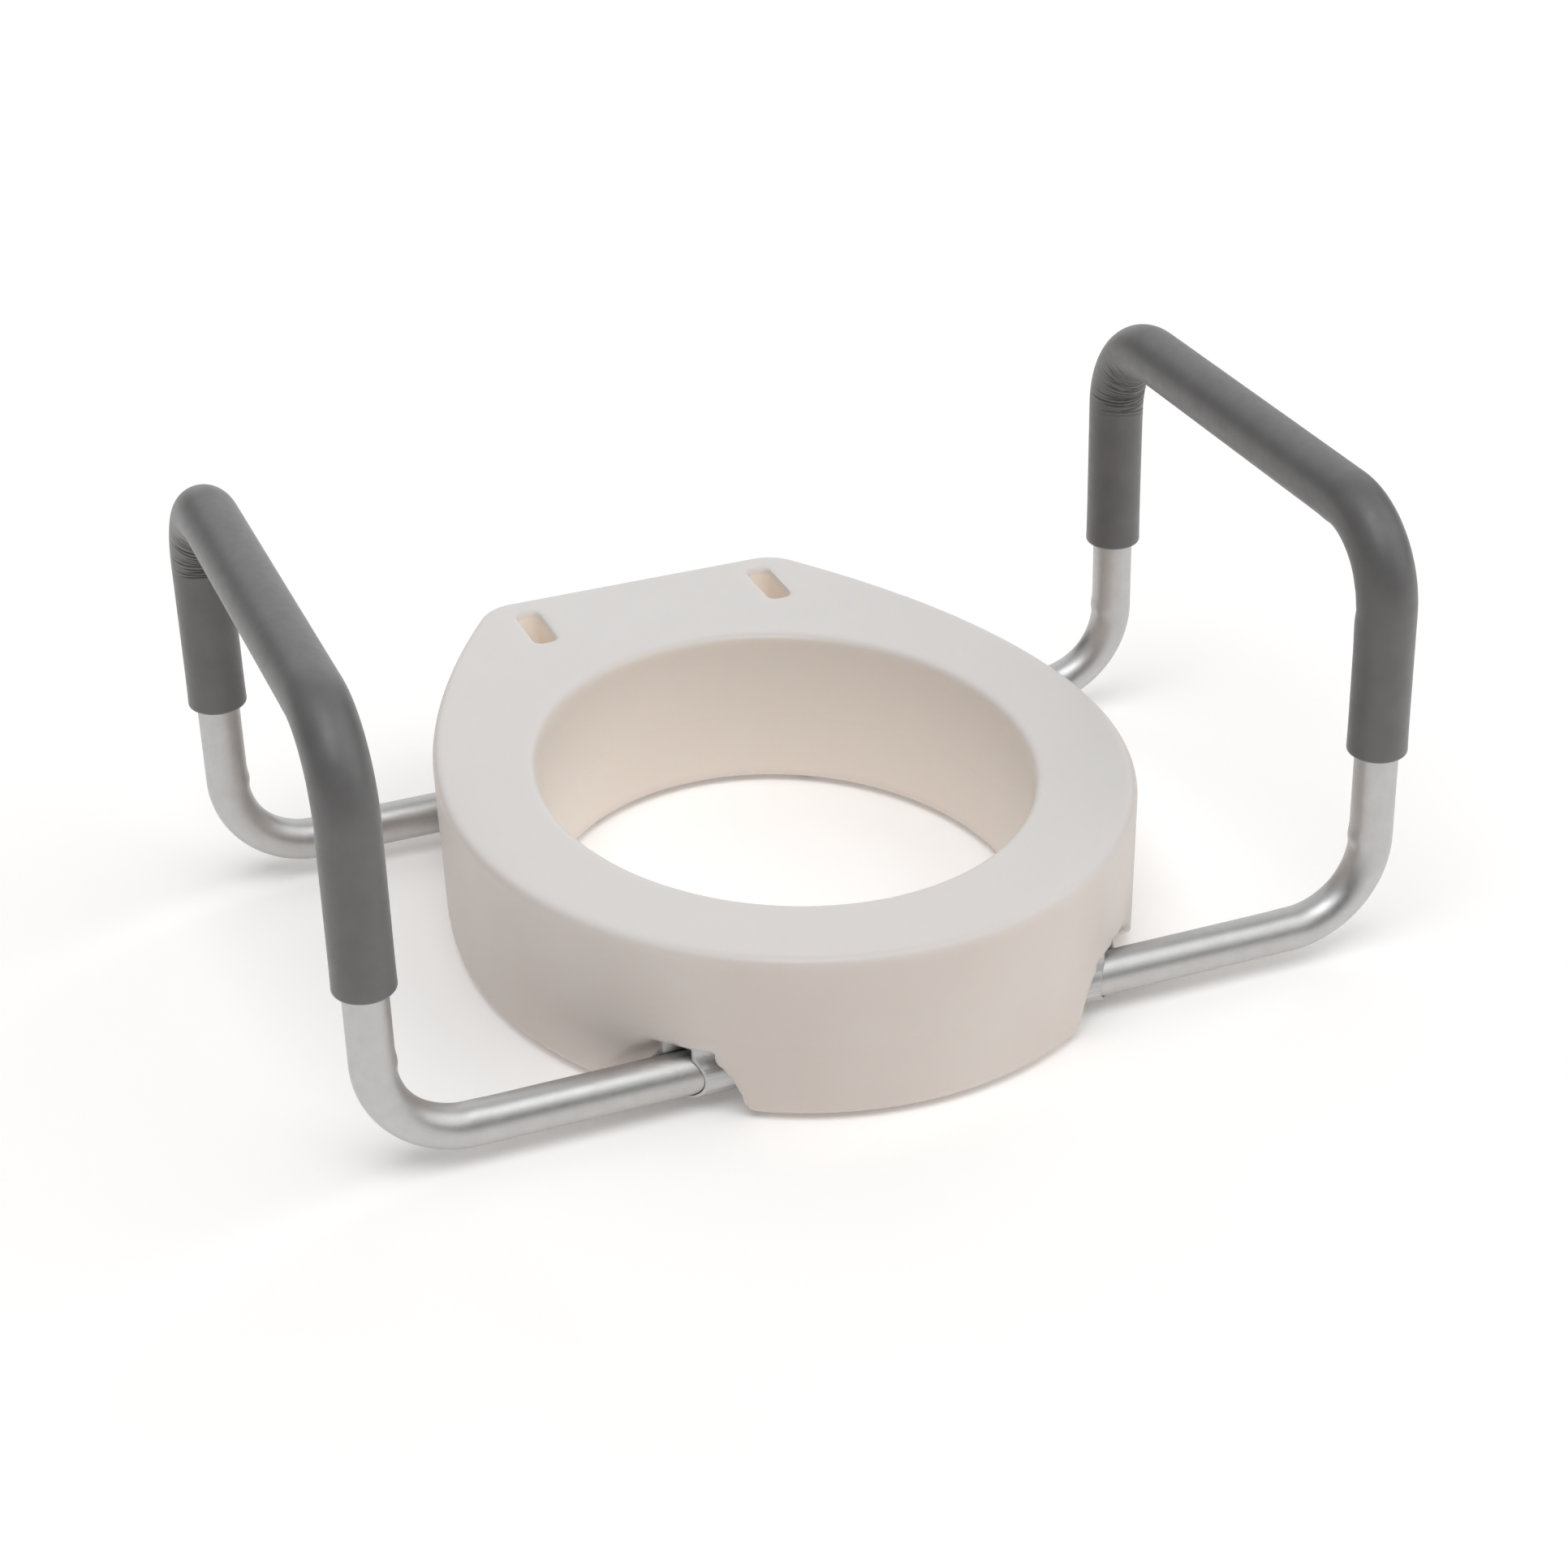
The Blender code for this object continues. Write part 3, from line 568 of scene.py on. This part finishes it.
def sweep(side, places, radii, inside=None):
    """Loops round an arm's centreline; the first point of each is on the bend's inside."""
    line, inward = arm_points(side, places)
    first = inward[0]
    normals = []
    run = np.gradient(line, axis=0)
    run /= np.linalg.norm(run, axis=1, keepdims=True)
    for direction in run:
        first = first - direction * np.dot(first, direction)
        first = first / np.linalg.norm(first)
        normals.append(first)
    normals = np.array(normals)
    beside = np.cross(run, normals)
    turn = np.linspace(0.0, 2.0 * math.pi, radii.shape[1], endpoint=False)
    across = np.cos(turn)[None, :, None] * normals[:, None] + np.sin(turn)[None, :, None] * beside[:, None]
    facing = (across * inward[:, None]).sum(axis=2)
    sideways = (across * np.cross(run, inward)[:, None]).sum(axis=2)
    angle = np.arctan2(sideways, facing)
    if inside is not None:
        radii = radii + inside(places[:, None], angle)
    return line[:, None] + across * radii[:, :, None]


def steps_along(stretches):
    """Places along an arm: each stretch is where it stops and its spacing; the first is where to start."""
    places = [stretches[0][0]]
    for stop, spacing in stretches[1:]:
        count = max(1, round((stop - places[-1]) / spacing))
        places += list(np.linspace(places[-1], stop, count + 1)[1:])
    return np.array(places)


# ---------------------------------------------------------------- tubes

TUBE_SIDES = 64
TUBE_EDGE_R = 0.35 * MM


def tube_marks(places, angle):
    """What the bending tool leaves inside the lower bends: a swelling at each end and a flat between."""
    change = np.zeros(np.broadcast(places, angle).shape)
    inner = np.clip(np.cos(angle), 0.0, 1.0) ** 2
    for start, stop in ((FOOT_END, LEG_START), (ARM_LENGTH - FOOT_END, ARM_LENGTH - LEG_START)):
        middle = (start + stop) / 2.0
        change = change + 0.9 * MM * inner * np.exp(-((places - stop) / (4.5 * MM)) ** 2)
        change = change + 0.4 * MM * inner * np.exp(-((places - start) / (7.0 * MM)) ** 2)
        change = change - 1.0 * MM * inner * np.exp(-((places - middle) / (20.0 * MM)) ** 2)
    return change


def build_tube(hand, material):
    side = SIDES[hand]
    edge = TUBE_EDGE_R
    middle = ARM_LENGTH / 2.0
    half = [(0.0, 0.0), (edge, edge / 4.0), (FOOT_END - 10.0 * MM, 6.0 * MM)]
    half += [(LEG_START + 10.0 * MM, 1.4 * MM), (LEG_TOP, 6.0 * MM)]
    half += [(BAR_START, 3.0 * MM), (middle, 8.0 * MM)]
    front = steps_along(half)
    places = np.concatenate([front, ARM_LENGTH - front[-2::-1]])
    round_off = rounded_ends(places, ARM_LENGTH, edge)[:, None]
    plain_radii = np.full((len(places), TUBE_SIDES), TUBE_R)
    outer = sweep(side, places, plain_radii - round_off, tube_marks)
    bore = sweep(side, places, plain_radii - TUBE_WALL, tube_marks)
    tube = skin(f"{hand}_tube", np.concatenate([outer, bore[::-1]]))
    for end in (-1.0, 1.0):
        low, high = TUBE_Z - TUBE_R - 2.0 * MM, TUBE_Z - TUBE_R + 4.0 * MM
        y = ARM_MID_Y + end * LEG_Y
        apply_boolean(tube, cylinder_cutter(BUTTON_HOLE_R, side * BUTTON_X, y, low, high))
    shade(tube, 50.0)
    dress(tube, material, f"{hand}_arm", "tube_aluminium", f"{hand}_arm_tube")


# ---------------------------------------------------------------- foam grips

FOAM_SIDES = 96
FOAM_EDGE_R = 2.2 * MM
FOAM_FLARE = 0.3 * MM
CREASE_SPACING = 0.42 * MM


def fold_marks(chance, first, last, gaps, depths, reach):
    """Creases picked between two places: where each is, its depth, width, slope, sway, middle and reach."""
    marks = []
    place = first
    while place < last:
        marks.append({
            "place": place,
            "depth": chance.uniform(*depths),
            "width": chance.uniform(0.42, 0.75) * MM,
            "slope": chance.uniform(-1.6, 1.6) * MM,
            "sway": chance.uniform(0.2, 0.8) * MM,
            "phase": chance.uniform(0.0, 6.28),
            "middle": chance.uniform(-0.35, 0.35),
            "reach": chance.uniform(*reach),
        })
        place += chance.uniform(*gaps)
    return marks


def fold_depth(mark, places, angle):
    """One crease: a fine groove with low lips, gone before it gets round to the outside."""
    wander = mark["slope"] * angle + mark["sway"] * np.sin(2.3 * angle + mark["phase"])
    off = (places - mark["place"] - wander) / mark["width"]
    fade = np.exp(-((angle - mark["middle"]) / mark["reach"]) ** 4)
    return mark["depth"] * fade * (0.45 * np.exp(-(off / 2.6) ** 2) - 1.25 * np.exp(-off ** 2))


def soft_bump(places, angle, place, height, length, reach):
    """A swelling on the bend's inside, or a hollow if height is negative."""
    return height * np.exp(-((places - place) / length) ** 2 - (angle / reach) ** 2)


def build_foam(hand, material):
    side = SIDES[hand]
    front, rear = FOAM_ENDS[hand]
    start = LEG_START + front - LOWER_BEND_R
    stop = ARM_LENGTH - LEG_START - rear + LOWER_BEND_R
    rear_bend, rear_leg = BAR_END, BAR_END + UPPER_BEND_R * math.pi / 2.0
    chance = np.random.default_rng(11 if hand == "left" else 23)
    folds = fold_marks(
        chance, rear_leg - 48.0 * MM, rear_leg + 2.0 * MM,
        gaps=(1.6 * MM, 3.4 * MM), depths=(0.45 * MM, 0.95 * MM), reach=(0.75, 1.3),
    )
    folds += fold_marks(
        chance, LEG_TOP - 5.0 * MM, LEG_TOP + 1.5 * MM,
        gaps=(1.3 * MM, 2.3 * MM), depths=(0.35 * MM, 0.6 * MM), reach=(0.35, 0.6),
    )
    bumps = [
        (LEG_TOP - 9.0 * MM, 0.8 * MM, 7.0 * MM, 0.9), (LEG_TOP + 0.5 * MM, -1.0 * MM, 2.6 * MM, 0.9),
        (LEG_TOP + 12.0 * MM, -0.5 * MM, 1.8 * MM, 0.6), (LEG_TOP + 23.0 * MM, -0.4 * MM, 1.6 * MM, 0.6),
        (LEG_TOP + 17.0 * MM, 0.5 * MM, 5.0 * MM, 0.9), (BAR_START + 1.0 * MM, 0.6 * MM, 5.0 * MM, 0.9),
        (rear_bend + 3.0 * MM, 0.5 * MM, 6.0 * MM, 0.9), (rear_leg - 14.0 * MM, 0.7 * MM, 16.0 * MM, 1.2),
    ]

    def shape(places, angle):
        flare = np.exp(-np.minimum(places - start, stop - places) / (7.0 * MM))
        change = FOAM_FLARE * flare
        for bump in bumps:
            change = change + soft_bump(places, angle, *bump)
        for mark in folds:
            change = change + fold_depth(mark, places, angle)
        return change

    edge = FOAM_EDGE_R
    places = steps_along([
        (start, 0.0), (start + edge, edge / 7.0), (LEG_TOP - 8.0 * MM, 3.0 * MM),
        (LEG_TOP + 4.0 * MM, CREASE_SPACING), (BAR_START + 8.0 * MM, 1.4 * MM),
        (rear_bend - 4.0 * MM, 4.0 * MM), (rear_leg - 51.0 * MM, 1.5 * MM),
        (rear_leg + 6.0 * MM, CREASE_SPACING), (stop - edge, 3.0 * MM), (stop, edge / 7.0),
    ])
    round_off = rounded_ends(places - start, stop - start, edge)[:, None]
    radii = np.full((len(places), FOAM_SIDES), FOAM_R - FOAM_FLARE)
    outer = sweep(side, places, radii - round_off, shape)
    bore = sweep(side, places, 0.0 * radii + TUBE_R + FOAM_GAP)
    foam = skin(f"{hand}_grip", np.concatenate([outer, bore[::-1]]))
    shade(foam, 60.0)
    dress(foam, material, f"{hand}_arm", "grip_foam", f"{hand}_foam_grip")


# ---------------------------------------------------------------- sleeves, buttons and pads

SLEEVE_EDGE_R = 0.3 * MM


def sleeve_loop(half, top, corner, foot, radius, steps):
    """The sleeve's section: a square neck that runs down into a ring, right side first."""
    turn = np.linspace(math.pi / 2.0, 0.0, 5)
    side = [(half - corner + corner * math.cos(a), top - corner + corner * math.sin(a)) for a in turn]
    side += foot
    reach = math.atan2(foot[-1][1], foot[-1][0])
    turn = np.linspace(reach, -math.pi / 2.0, steps)[1:]
    side += [(radius * math.cos(a), radius * math.sin(a)) for a in turn]
    return np.array(side + [(-across, z) for across, z in side[-2::-1]])


def grown(loop, amount):
    """The loop moved outwards, or inwards if amount is negative."""
    run = np.roll(loop, -1, axis=0) - np.roll(loop, 1, axis=0)
    run /= np.linalg.norm(run, axis=1, keepdims=True)
    return loop + amount * np.stack([-run[:, 1], run[:, 0]], axis=1)


def build_sleeve(hand, end, material):
    side, spec = SIDES[hand], ENDS[end]
    slot = NECK_HALF - NECK_WALL
    shoulder = 9.6 * MM
    outer_foot = [(NECK_HALF, 12.8 * MM), (7.9 * MM, 11.8 * MM)]
    outer_foot.append((shoulder, math.sqrt(RING_R ** 2 - shoulder ** 2)))
    inner_foot = [(slot, 13.0 * MM), (slot, 11.5 * MM), (slot, math.sqrt(BORE_R ** 2 - slot ** 2))]
    outside = sleeve_loop(NECK_HALF, NECK_TOP, 0.9 * MM, outer_foot, RING_R, 36)
    inside = sleeve_loop(slot, NECK_TOP - NECK_WALL, 0.5 * MM, inner_foot, BORE_R, 36)
    edge = SLEEVE_EDGE_R

    def row(loop, inset, from_mouth):
        across = loop[:, 0]
        end_x = spec["mouth"] + spec["slant"] * across if from_mouth else np.full(len(loop), spec["inner"])
        x = end_x - inset if from_mouth else end_x + inset
        return np.column_stack([side * x, ARM_MID_Y + spec["y"] + across, TUBE_Z + loop[:, 1]])

    rows = [row(grown(outside, -edge), 0.0, False), row(outside, edge, False)]
    rows += [row(outside, edge, True), row(grown(outside, -edge), 0.0, True)]
    rows += [row(grown(inside, edge), 0.0, True), row(inside, edge, True)]
    rows += [row(inside, edge, False), row(grown(inside, edge), 0.0, False)]
    sleeve = skin(f"{hand}_{end}_sleeve_shown", np.array(rows))
    fix_normals(sleeve)
    low, high = TUBE_Z - RING_R - 2.0 * MM, TUBE_Z - RING_R + 5.0 * MM
    y = ARM_MID_Y + spec["y"]
    apply_boolean(sleeve, cylinder_cutter(BUTTON_HOLE_R, side * BUTTON_X, y, low, high))
    shade(sleeve, 30.0)
    dress(sleeve, material, "seat", "sleeve_aluminium", f"{hand}_{end}_sleeve")


def build_button(hand, end, material):
    low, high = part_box(f"{hand}_{end}_snap_button")
    mid_x, mid_y, radius = (low[0] + high[0]) / 2.0, (low[1] + high[1]) / 2.0, (high[0] - low[0]) / 2.0
    dome = 2.6 * MM
    profile = [(0.0, low[2])]
    for a in np.linspace(0.0, math.pi / 2.0, 9)[1:]:
        profile.append((radius * math.sin(a), low[2] + dome * (1.0 - math.cos(a))))
    profile += [(radius, high[2] - 0.2 * MM), (radius - 0.2 * MM, high[2]), (0.0, high[2])]
    button = turned(f"{hand}_{end}_button_shown", profile, 40, (mid_x, mid_y, 0.0))
    shade(button, 40.0)
    dress(button, material, f"{hand}_{end}_button", "button_steel", f"{hand}_{end}_snap_button")


def spring_line():
    """The bent strip seen from the side, in mm: out from the button, round, and back along the tube's top."""
    bend_x, bend_r, spacing = 26.0, 3.0, 1.5
    turn = np.linspace(-math.pi / 2.0, math.pi / 2.0, 13)
    corners = [(-7.0, -7.3), (7.0, -7.3), (24.0, -3.6)]
    corners += [(bend_x + bend_r * math.cos(a), bend_r * math.sin(a)) for a in turn]
    corners += [(24.0, 3.6), (0.0, 8.0), (-7.0, 7.4)]
    line = [corners[0]]
    for start, stop in zip(corners, corners[1:]):
        steps = max(1, round(math.dist(start, stop) / spacing))
        line += [tuple(p) for p in np.linspace(start, stop, steps + 1)[1:]]
    return MM * np.array(line)


def build_spring(hand, end, material):
    """The clip's strip: one leg under the button, the other on the tube."""
    side, spec, line = SIDES[hand], ENDS[end], spring_line()
    run = np.gradient(line, axis=0)
    run /= np.linalg.norm(run, axis=1, keepdims=True)
    half_width, half_thick, ease = STRIP_WIDTH / 2.0, STRIP_THICK / 2.0, 0.12 * MM
    corner = [(half_width - ease, half_thick), (half_width, half_thick - ease)]
    section = corner + [(w, -t) for w, t in reversed(corner)]
    section += [(-w, t) for w, t in reversed(section)]
    middle = np.array((side * BUTTON_X, ARM_MID_Y + spec["y"], TUBE_Z))
    rows = []
    for (along, up), (step_along, step_up) in zip(line, run):
        loop = [(side * (along - t * step_up), w, up + t * step_along) for w, t in section]
        rows.append(np.array(loop) + middle)
    spring = skin(f"{hand}_{end}_spring_strip", np.array(rows), closed=False)
    fix_normals(spring)
    shade(spring, 25.0)
    spring.data.materials.append(material)
    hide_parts(f"{hand}_{end}_clip_spring")
    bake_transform(spring)


def build_pad(hand, end, material):
    low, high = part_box(f"{hand}_{end}_pad")
    mid_x, mid_y, radius = (low[0] + high[0]) / 2.0, (low[1] + high[1]) / 2.0, (high[0] - low[0]) / 2.0
    top = SEAT_BOTTOM - 0.3 * MM
    profile = [(0.0, 0.5 * MM), (4.0 * MM, 0.5 * MM), (4.6 * MM, 0.0), (radius - 1.0 * MM, 0.0)]
    profile += [(radius - 0.3 * MM, 0.3 * MM), (radius, 1.0 * MM), (radius, top - 0.2 * MM)]
    profile += [(radius - 0.2 * MM, top), (2.8 * MM, top), (2.8 * MM, high[2] - 3.0 * MM)]
    profile += [(3.7 * MM, high[2] - 2.6 * MM), (2.0 * MM, high[2]), (0.0, high[2])]
    pad = turned(f"{hand}_{end}_pad_shown", profile, 48, (mid_x, mid_y, 0.0))
    shade(pad, 35.0)
    dress(pad, material, "seat", "pad_rubber", f"{hand}_{end}_pad")


# ---------------------------------------------------------------- camera, light and floor

def build_camera():
    """The photograph's own viewpoint: from the front left, above the arms."""
    data = bpy.data.cameras.new("camera")
    data.lens = 74.68
    data.sensor_width = 36.0
    data.clip_start = 0.05
    data.clip_end = 50.0
    camera = bpy.data.objects.new("camera", data)
    bpy.context.scene.collection.objects.link(camera)
    right = Vector((0.93064, -0.36509, -0.02466))
    up = Vector((0.19669, 0.44228, 0.87504))
    back = -Vector((0.30857, 0.81920, -0.48342))
    turn = Matrix((right, up, back)).transposed().to_4x4()
    camera.matrix_world = Matrix.Translation((-0.52535, -1.41453, 0.90019)) @ turn
    bpy.context.scene.camera = camera


def soft_sun(name, towards, spread, strength, colour):
    """A wide soft source far away in the direction given, which lights the floor evenly to its edges."""
    data = bpy.data.lights.new(name, "SUN")
    data.angle = math.radians(spread)
    data.energy = strength
    data.color = colour
    light = bpy.data.objects.new(name, data)
    light.rotation_euler = Vector(towards).to_track_quat("Z", "Y").to_euler()
    bpy.context.scene.collection.objects.link(light)


def build_stage():
    world = bpy.data.worlds.new("studio")
    world.use_nodes = True
    background = world.node_tree.nodes["Background"]
    background.inputs["Color"].default_value = (1.0, 1.0, 1.0, 1.0)
    background.inputs["Strength"].default_value = 0.03
    bpy.context.scene.world = world
    bpy.context.scene.view_settings.view_transform = "Standard"
    soft_sun("overhead", (-0.2, -0.3, 0.93), 40.0, 1.3, (0.98, 1.0, 1.01))
    soft_sun("right", (0.62, -0.35, 0.7), 62.0, 1.25, (0.98, 1.0, 1.0))
    soft_sun("left", (-0.6, 0.15, 0.78), 60.0, 0.34, (0.98, 1.0, 1.01))
    soft_sun("backdrop", (0.25, 0.8, 0.52), 70.0, 1.0, (0.98, 1.0, 1.01))
    corners = [(x * FLOOR_HALF, y * FLOOR_HALF, FLOOR_Z) for x, y in ((-1, -1), (1, -1), (1, 1), (-1, 1))]
    floor = make_mesh("floor", corners, [(0, 1, 2, 3)])
    floor.data.materials.append(floor_material())


def floor_material():
    mat = bpy.data.materials.new("floor_white")
    mat.use_nodes = True
    shader = mat.node_tree.nodes["Principled BSDF"]
    shader.inputs["Base Color"].default_value = (0.95, 0.925, 0.91, 1.0)
    shader.inputs["Roughness"].default_value = 0.9
    shader.inputs["Emission Color"].default_value = (1.0, 0.99, 0.985, 1.0)
    shader.inputs["Emission Strength"].default_value = 0.15
    return mat


# ---------------------------------------------------------------- materials

class Look:
    """A procedural material: two tones mixed by soft noise, uneven gloss and a fine grain."""

    def __init__(self, name, tones, roughness, metallic=0.0):
        self.mat = bpy.data.materials.new(name)
        self.mat.use_nodes = True
        self.tree = self.mat.node_tree
        self.shader = self.tree.nodes["Principled BSDF"]
        self.shader.inputs["Metallic"].default_value = metallic
        self.coords = self.tree.nodes.new("ShaderNodeTexCoord").outputs["Object"]
        self.tones = tones
        self.roughness = roughness
        self.height = None

    def link(self, source, target):
        self.tree.links.new(source, target)

    def noise(self, scale, stretch=(1.0, 1.0, 1.0), detail=3.0):
        mapping = self.tree.nodes.new("ShaderNodeMapping")
        mapping.inputs["Scale"].default_value = stretch
        self.link(self.coords, mapping.inputs["Vector"])
        noise = self.tree.nodes.new("ShaderNodeTexNoise")
        noise.inputs["Scale"].default_value = scale
        noise.inputs["Detail"].default_value = detail
        self.link(mapping.outputs["Vector"], noise.inputs["Vector"])
        return noise.outputs["Fac"]

    def spread(self, source, low, high, start=0.3, stop=0.7):
        """A value that goes from low to high as the source goes from start to stop."""
        node = self.tree.nodes.new("ShaderNodeMapRange")
        node.inputs["From Min"].default_value = start
        node.inputs["From Max"].default_value = stop
        node.inputs["To Min"].default_value = low
        node.inputs["To Max"].default_value = high
        self.link(source, node.inputs["Value"])
        return node.outputs["Result"]

    def add_tone(self, factor):
        mix = self.tree.nodes.new("ShaderNodeMix")
        mix.data_type = "RGBA"
        mix.inputs["A"].default_value = (*self.tones[0], 1.0)
        mix.inputs["B"].default_value = (*self.tones[1], 1.0)
        self.link(factor, mix.inputs["Factor"])
        self.link(mix.outputs["Result"], self.shader.inputs["Base Color"])

    def cover(self, factor, tone):
        """Lay another tone over the base colour wherever the factor is more than nothing."""
        mix = self.tree.nodes.new("ShaderNodeMix")
        mix.data_type = "RGBA"
        base = self.shader.inputs["Base Color"].links[0].from_socket
        self.link(base, mix.inputs["A"])
        mix.inputs["B"].default_value = (*tone, 1.0)
        self.link(factor, mix.inputs["Factor"])
        self.link(mix.outputs["Result"], self.shader.inputs["Base Color"])

    def maths(self, operation, *values):
        """A Math node; each value is a number or another node's output."""
        node = self.tree.nodes.new("ShaderNodeMath")
        node.operation = operation
        for socket, value in zip(node.inputs, values):
            if isinstance(value, (int, float)):
                socket.default_value = value
            else:
                self.link(value, socket)
        return node.outputs["Value"]

    def axes(self):
        split = self.tree.nodes.new("ShaderNodeSeparateXYZ")
        self.link(self.coords, split.inputs["Vector"])
        return split.outputs["X"], split.outputs["Y"], split.outputs["Z"]

    def add_gloss(self, factor):
        self.link(self.spread(factor, *self.roughness), self.shader.inputs["Roughness"])

    def add_height(self, height, depth, strength=1.0):
        """Bump of a given depth in metres, on top of any there already."""
        bump = self.tree.nodes.new("ShaderNodeBump")
        bump.inputs["Strength"].default_value = strength
        bump.inputs["Distance"].default_value = depth
        self.link(height, bump.inputs["Height"])
        if self.height is not None:
            self.link(self.height, bump.inputs["Normal"])
        self.height = bump.outputs["Normal"]
        self.link(self.height, self.shader.inputs["Normal"])


def plastic_look():
    """Moulded plastic, a little cloudy, with the mould's seam round it; a cool sheen is painted on its top,
    and lighter, warmer painted light on the walls of its opening and slots.
    """
    look = Look("riser_plastic", ((0.74, 0.655, 0.605), (0.78, 0.71, 0.66)), (0.38, 0.46))
    look.add_tone(look.spread(look.noise(9.0, detail=5.0), 0.0, 1.0))
    # painted sheen: the top face is given a cooler, greyer colour for the cool light it reflects
    painted_top_sheen = look.spread(look.axes()[2], 0.0, 0.8, SEAT_TOP - 5.0 * MM, SEAT_TOP)
    look.cover(painted_top_sheen, (0.72, 0.69, 0.675))
    # painted light: the opening's wall is made lighter and warmer for the light bouncing inside it
    look.cover(painted_opening_light(look), (0.815, 0.735, 0.665))
    # painted light: the slots' walls are given a bright tan glow for light coming through the thin plastic
    look.cover(painted_slot_light(look), (1.0, 0.885, 0.79))
    look.add_gloss(look.noise(30.0))
    look.add_height(look.noise(14.0), 1.5 * MM, 0.25)
    look.add_height(look.noise(900.0), 0.05 * MM, 0.35)
    look.add_height(seam(look, 42.0 * MM, 0.5 * MM), 0.12 * MM, 0.5)
    look.shader.inputs["IOR"].default_value = 1.5
    look.shader.inputs["Subsurface Weight"].default_value = 0.3
    look.shader.inputs["Subsurface Radius"].default_value = (1.0, 0.65, 0.42)
    look.shader.inputs["Subsurface Scale"].default_value = 8.0 * MM
    return look.mat


def seam(look, height, width):
    """One on a level line round the riser, fading to nothing on either side of it."""
    off = look.maths("ABSOLUTE", look.maths("SUBTRACT", look.axes()[2], height))
    return look.spread(off, 1.0, 0.0, 0.0, width)


def between_faces(look, x, y, reach):
    """One where x and y come within reach of zero, between the riser's top and bottom; else nothing."""
    across = look.maths("ADD", look.maths("MULTIPLY", x, x), look.maths("MULTIPLY", y, y))
    near = look.spread(look.maths("SQRT", across), 1.0, 0.0, reach, reach + 6.0 * MM)
    z = look.axes()[2]
    below = look.spread(z, 1.0, 0.0, SEAT_TOP - 4.0 * MM, SEAT_TOP - 0.8 * MM)
    above = look.spread(z, 0.0, 1.0, SEAT_BOTTOM + 2.0 * MM, SEAT_BOTTOM + 7.0 * MM)
    return look.maths("MULTIPLY", near, look.maths("MULTIPLY", below, above))


def painted_slot_light(look):
    """One on the slots' walls, where bright, warm painted light is laid."""
    x, y, _ = look.axes()
    aside = look.maths("SUBTRACT", look.maths("ABSOLUTE", x), SLOT_X)
    along = look.maths("SUBTRACT", y, ARM_MID_Y + SLOT_Y)
    return between_faces(look, aside, along, 20.0 * MM)


def painted_opening_light(look):
    """One on the wall of the opening, where lighter, warmer painted light is laid."""
    x, y, _ = look.axes()
    along = look.maths("SUBTRACT", y, ARM_MID_Y + HOLE_Y)
    rounder = look.maths("MULTIPLY", along, HOLE_HALF_X / HOLE_HALF_Y)
    return between_faces(look, x, rounder, HOLE_HALF_X + 8.0 * MM)


def tube_look():
    """Satin anodised tube."""
    look = Look("tube_satin", ((0.55, 0.54, 0.535), (0.585, 0.575, 0.57)), (0.42, 0.5), 1.0)
    look.add_tone(look.spread(look.noise(120.0, detail=6.0), 0.0, 1.0))
    look.add_gloss(look.noise(450.0))
    look.add_height(look.noise(70.0), 0.25 * MM, 0.12)
    look.add_height(look.noise(1400.0), 0.03 * MM, 0.3)
    return look.mat


def sleeve_look():
    """Extruded aluminium, with faint lines along its length."""
    look = Look("sleeve_extruded", ((0.52, 0.515, 0.515), (0.63, 0.625, 0.625)), (0.42, 0.54), 1.0)
    lines = look.noise(900.0, (0.02, 1.0, 1.0))
    look.add_tone(look.spread(lines, 0.0, 1.0))
    look.add_gloss(look.noise(60.0))
    look.add_height(lines, 0.05 * MM, 0.35)
    return look.mat


def foam_look():
    """Dark grey closed-cell foam with a fine skin."""
    look = Look("grip_foam", ((0.098, 0.094, 0.093), (0.118, 0.113, 0.112)), (0.42, 0.52))
    look.add_tone(look.spread(look.noise(60.0, detail=6.0), 0.0, 1.0))
    look.add_gloss(look.noise(200.0))
    look.add_height(look.noise(1100.0), 0.12 * MM, 0.3)
    look.add_height(look.noise(45.0), 0.8 * MM, 0.12)
    look.shader.inputs["IOR"].default_value = 1.7
    look.shader.inputs["Sheen Weight"].default_value = 0.2
    look.shader.inputs["Sheen Roughness"].default_value = 0.5
    return look.mat


def steel_look(name, tone, roughness, stretch):
    look = Look(name, ([0.85 * c for c in tone], tone), roughness, 1.0)
    lines = look.noise(1200.0, stretch)
    look.add_tone(look.spread(lines, 0.0, 1.0))
    look.add_gloss(look.noise(500.0))
    look.add_height(lines, 0.02 * MM, 0.3)
    return look.mat


def rubber_look():
    look = Look("pad_rubber", ((0.075, 0.075, 0.075), (0.1, 0.1, 0.1)), (0.55, 0.7))
    look.add_tone(look.spread(look.noise(300.0), 0.0, 1.0))
    look.add_gloss(look.noise(90.0))
    look.add_height(look.noise(1800.0), 0.08 * MM, 0.4)
    return look.mat


build_camera()
build_stage()
outer_map = DistanceMap(riser_outline())
hole_map = DistanceMap(hole_outline())
build_riser(plastic_look())
tube, foam, sleeve_metal, rubber = tube_look(), foam_look(), sleeve_look(), rubber_look()
button_steel = steel_look("button_steel", (0.66, 0.66, 0.67), (0.2, 0.3), (1.0, 1.0, 0.05))
screw_steel = steel_look("screw_steel", (0.58, 0.575, 0.56), (0.25, 0.38), (1.0, 1.0, 0.1))
spring_steel = steel_look("spring_steel", (0.45, 0.45, 0.46), (0.25, 0.38), (0.03, 1.0, 1.0))
for hand in SIDES:
    build_tube(hand, tube)
    build_foam(hand, foam)
    for end in ENDS:
        build_sleeve(hand, end, sleeve_metal)
        build_button(hand, end, button_steel)
        build_pad(hand, end, rubber)
        build_spring(hand, end, spring_steel)
        for which in ("inner", "outer"):
            paint_node(f"{hand}_{end}_{which}_screw", screw_steel)
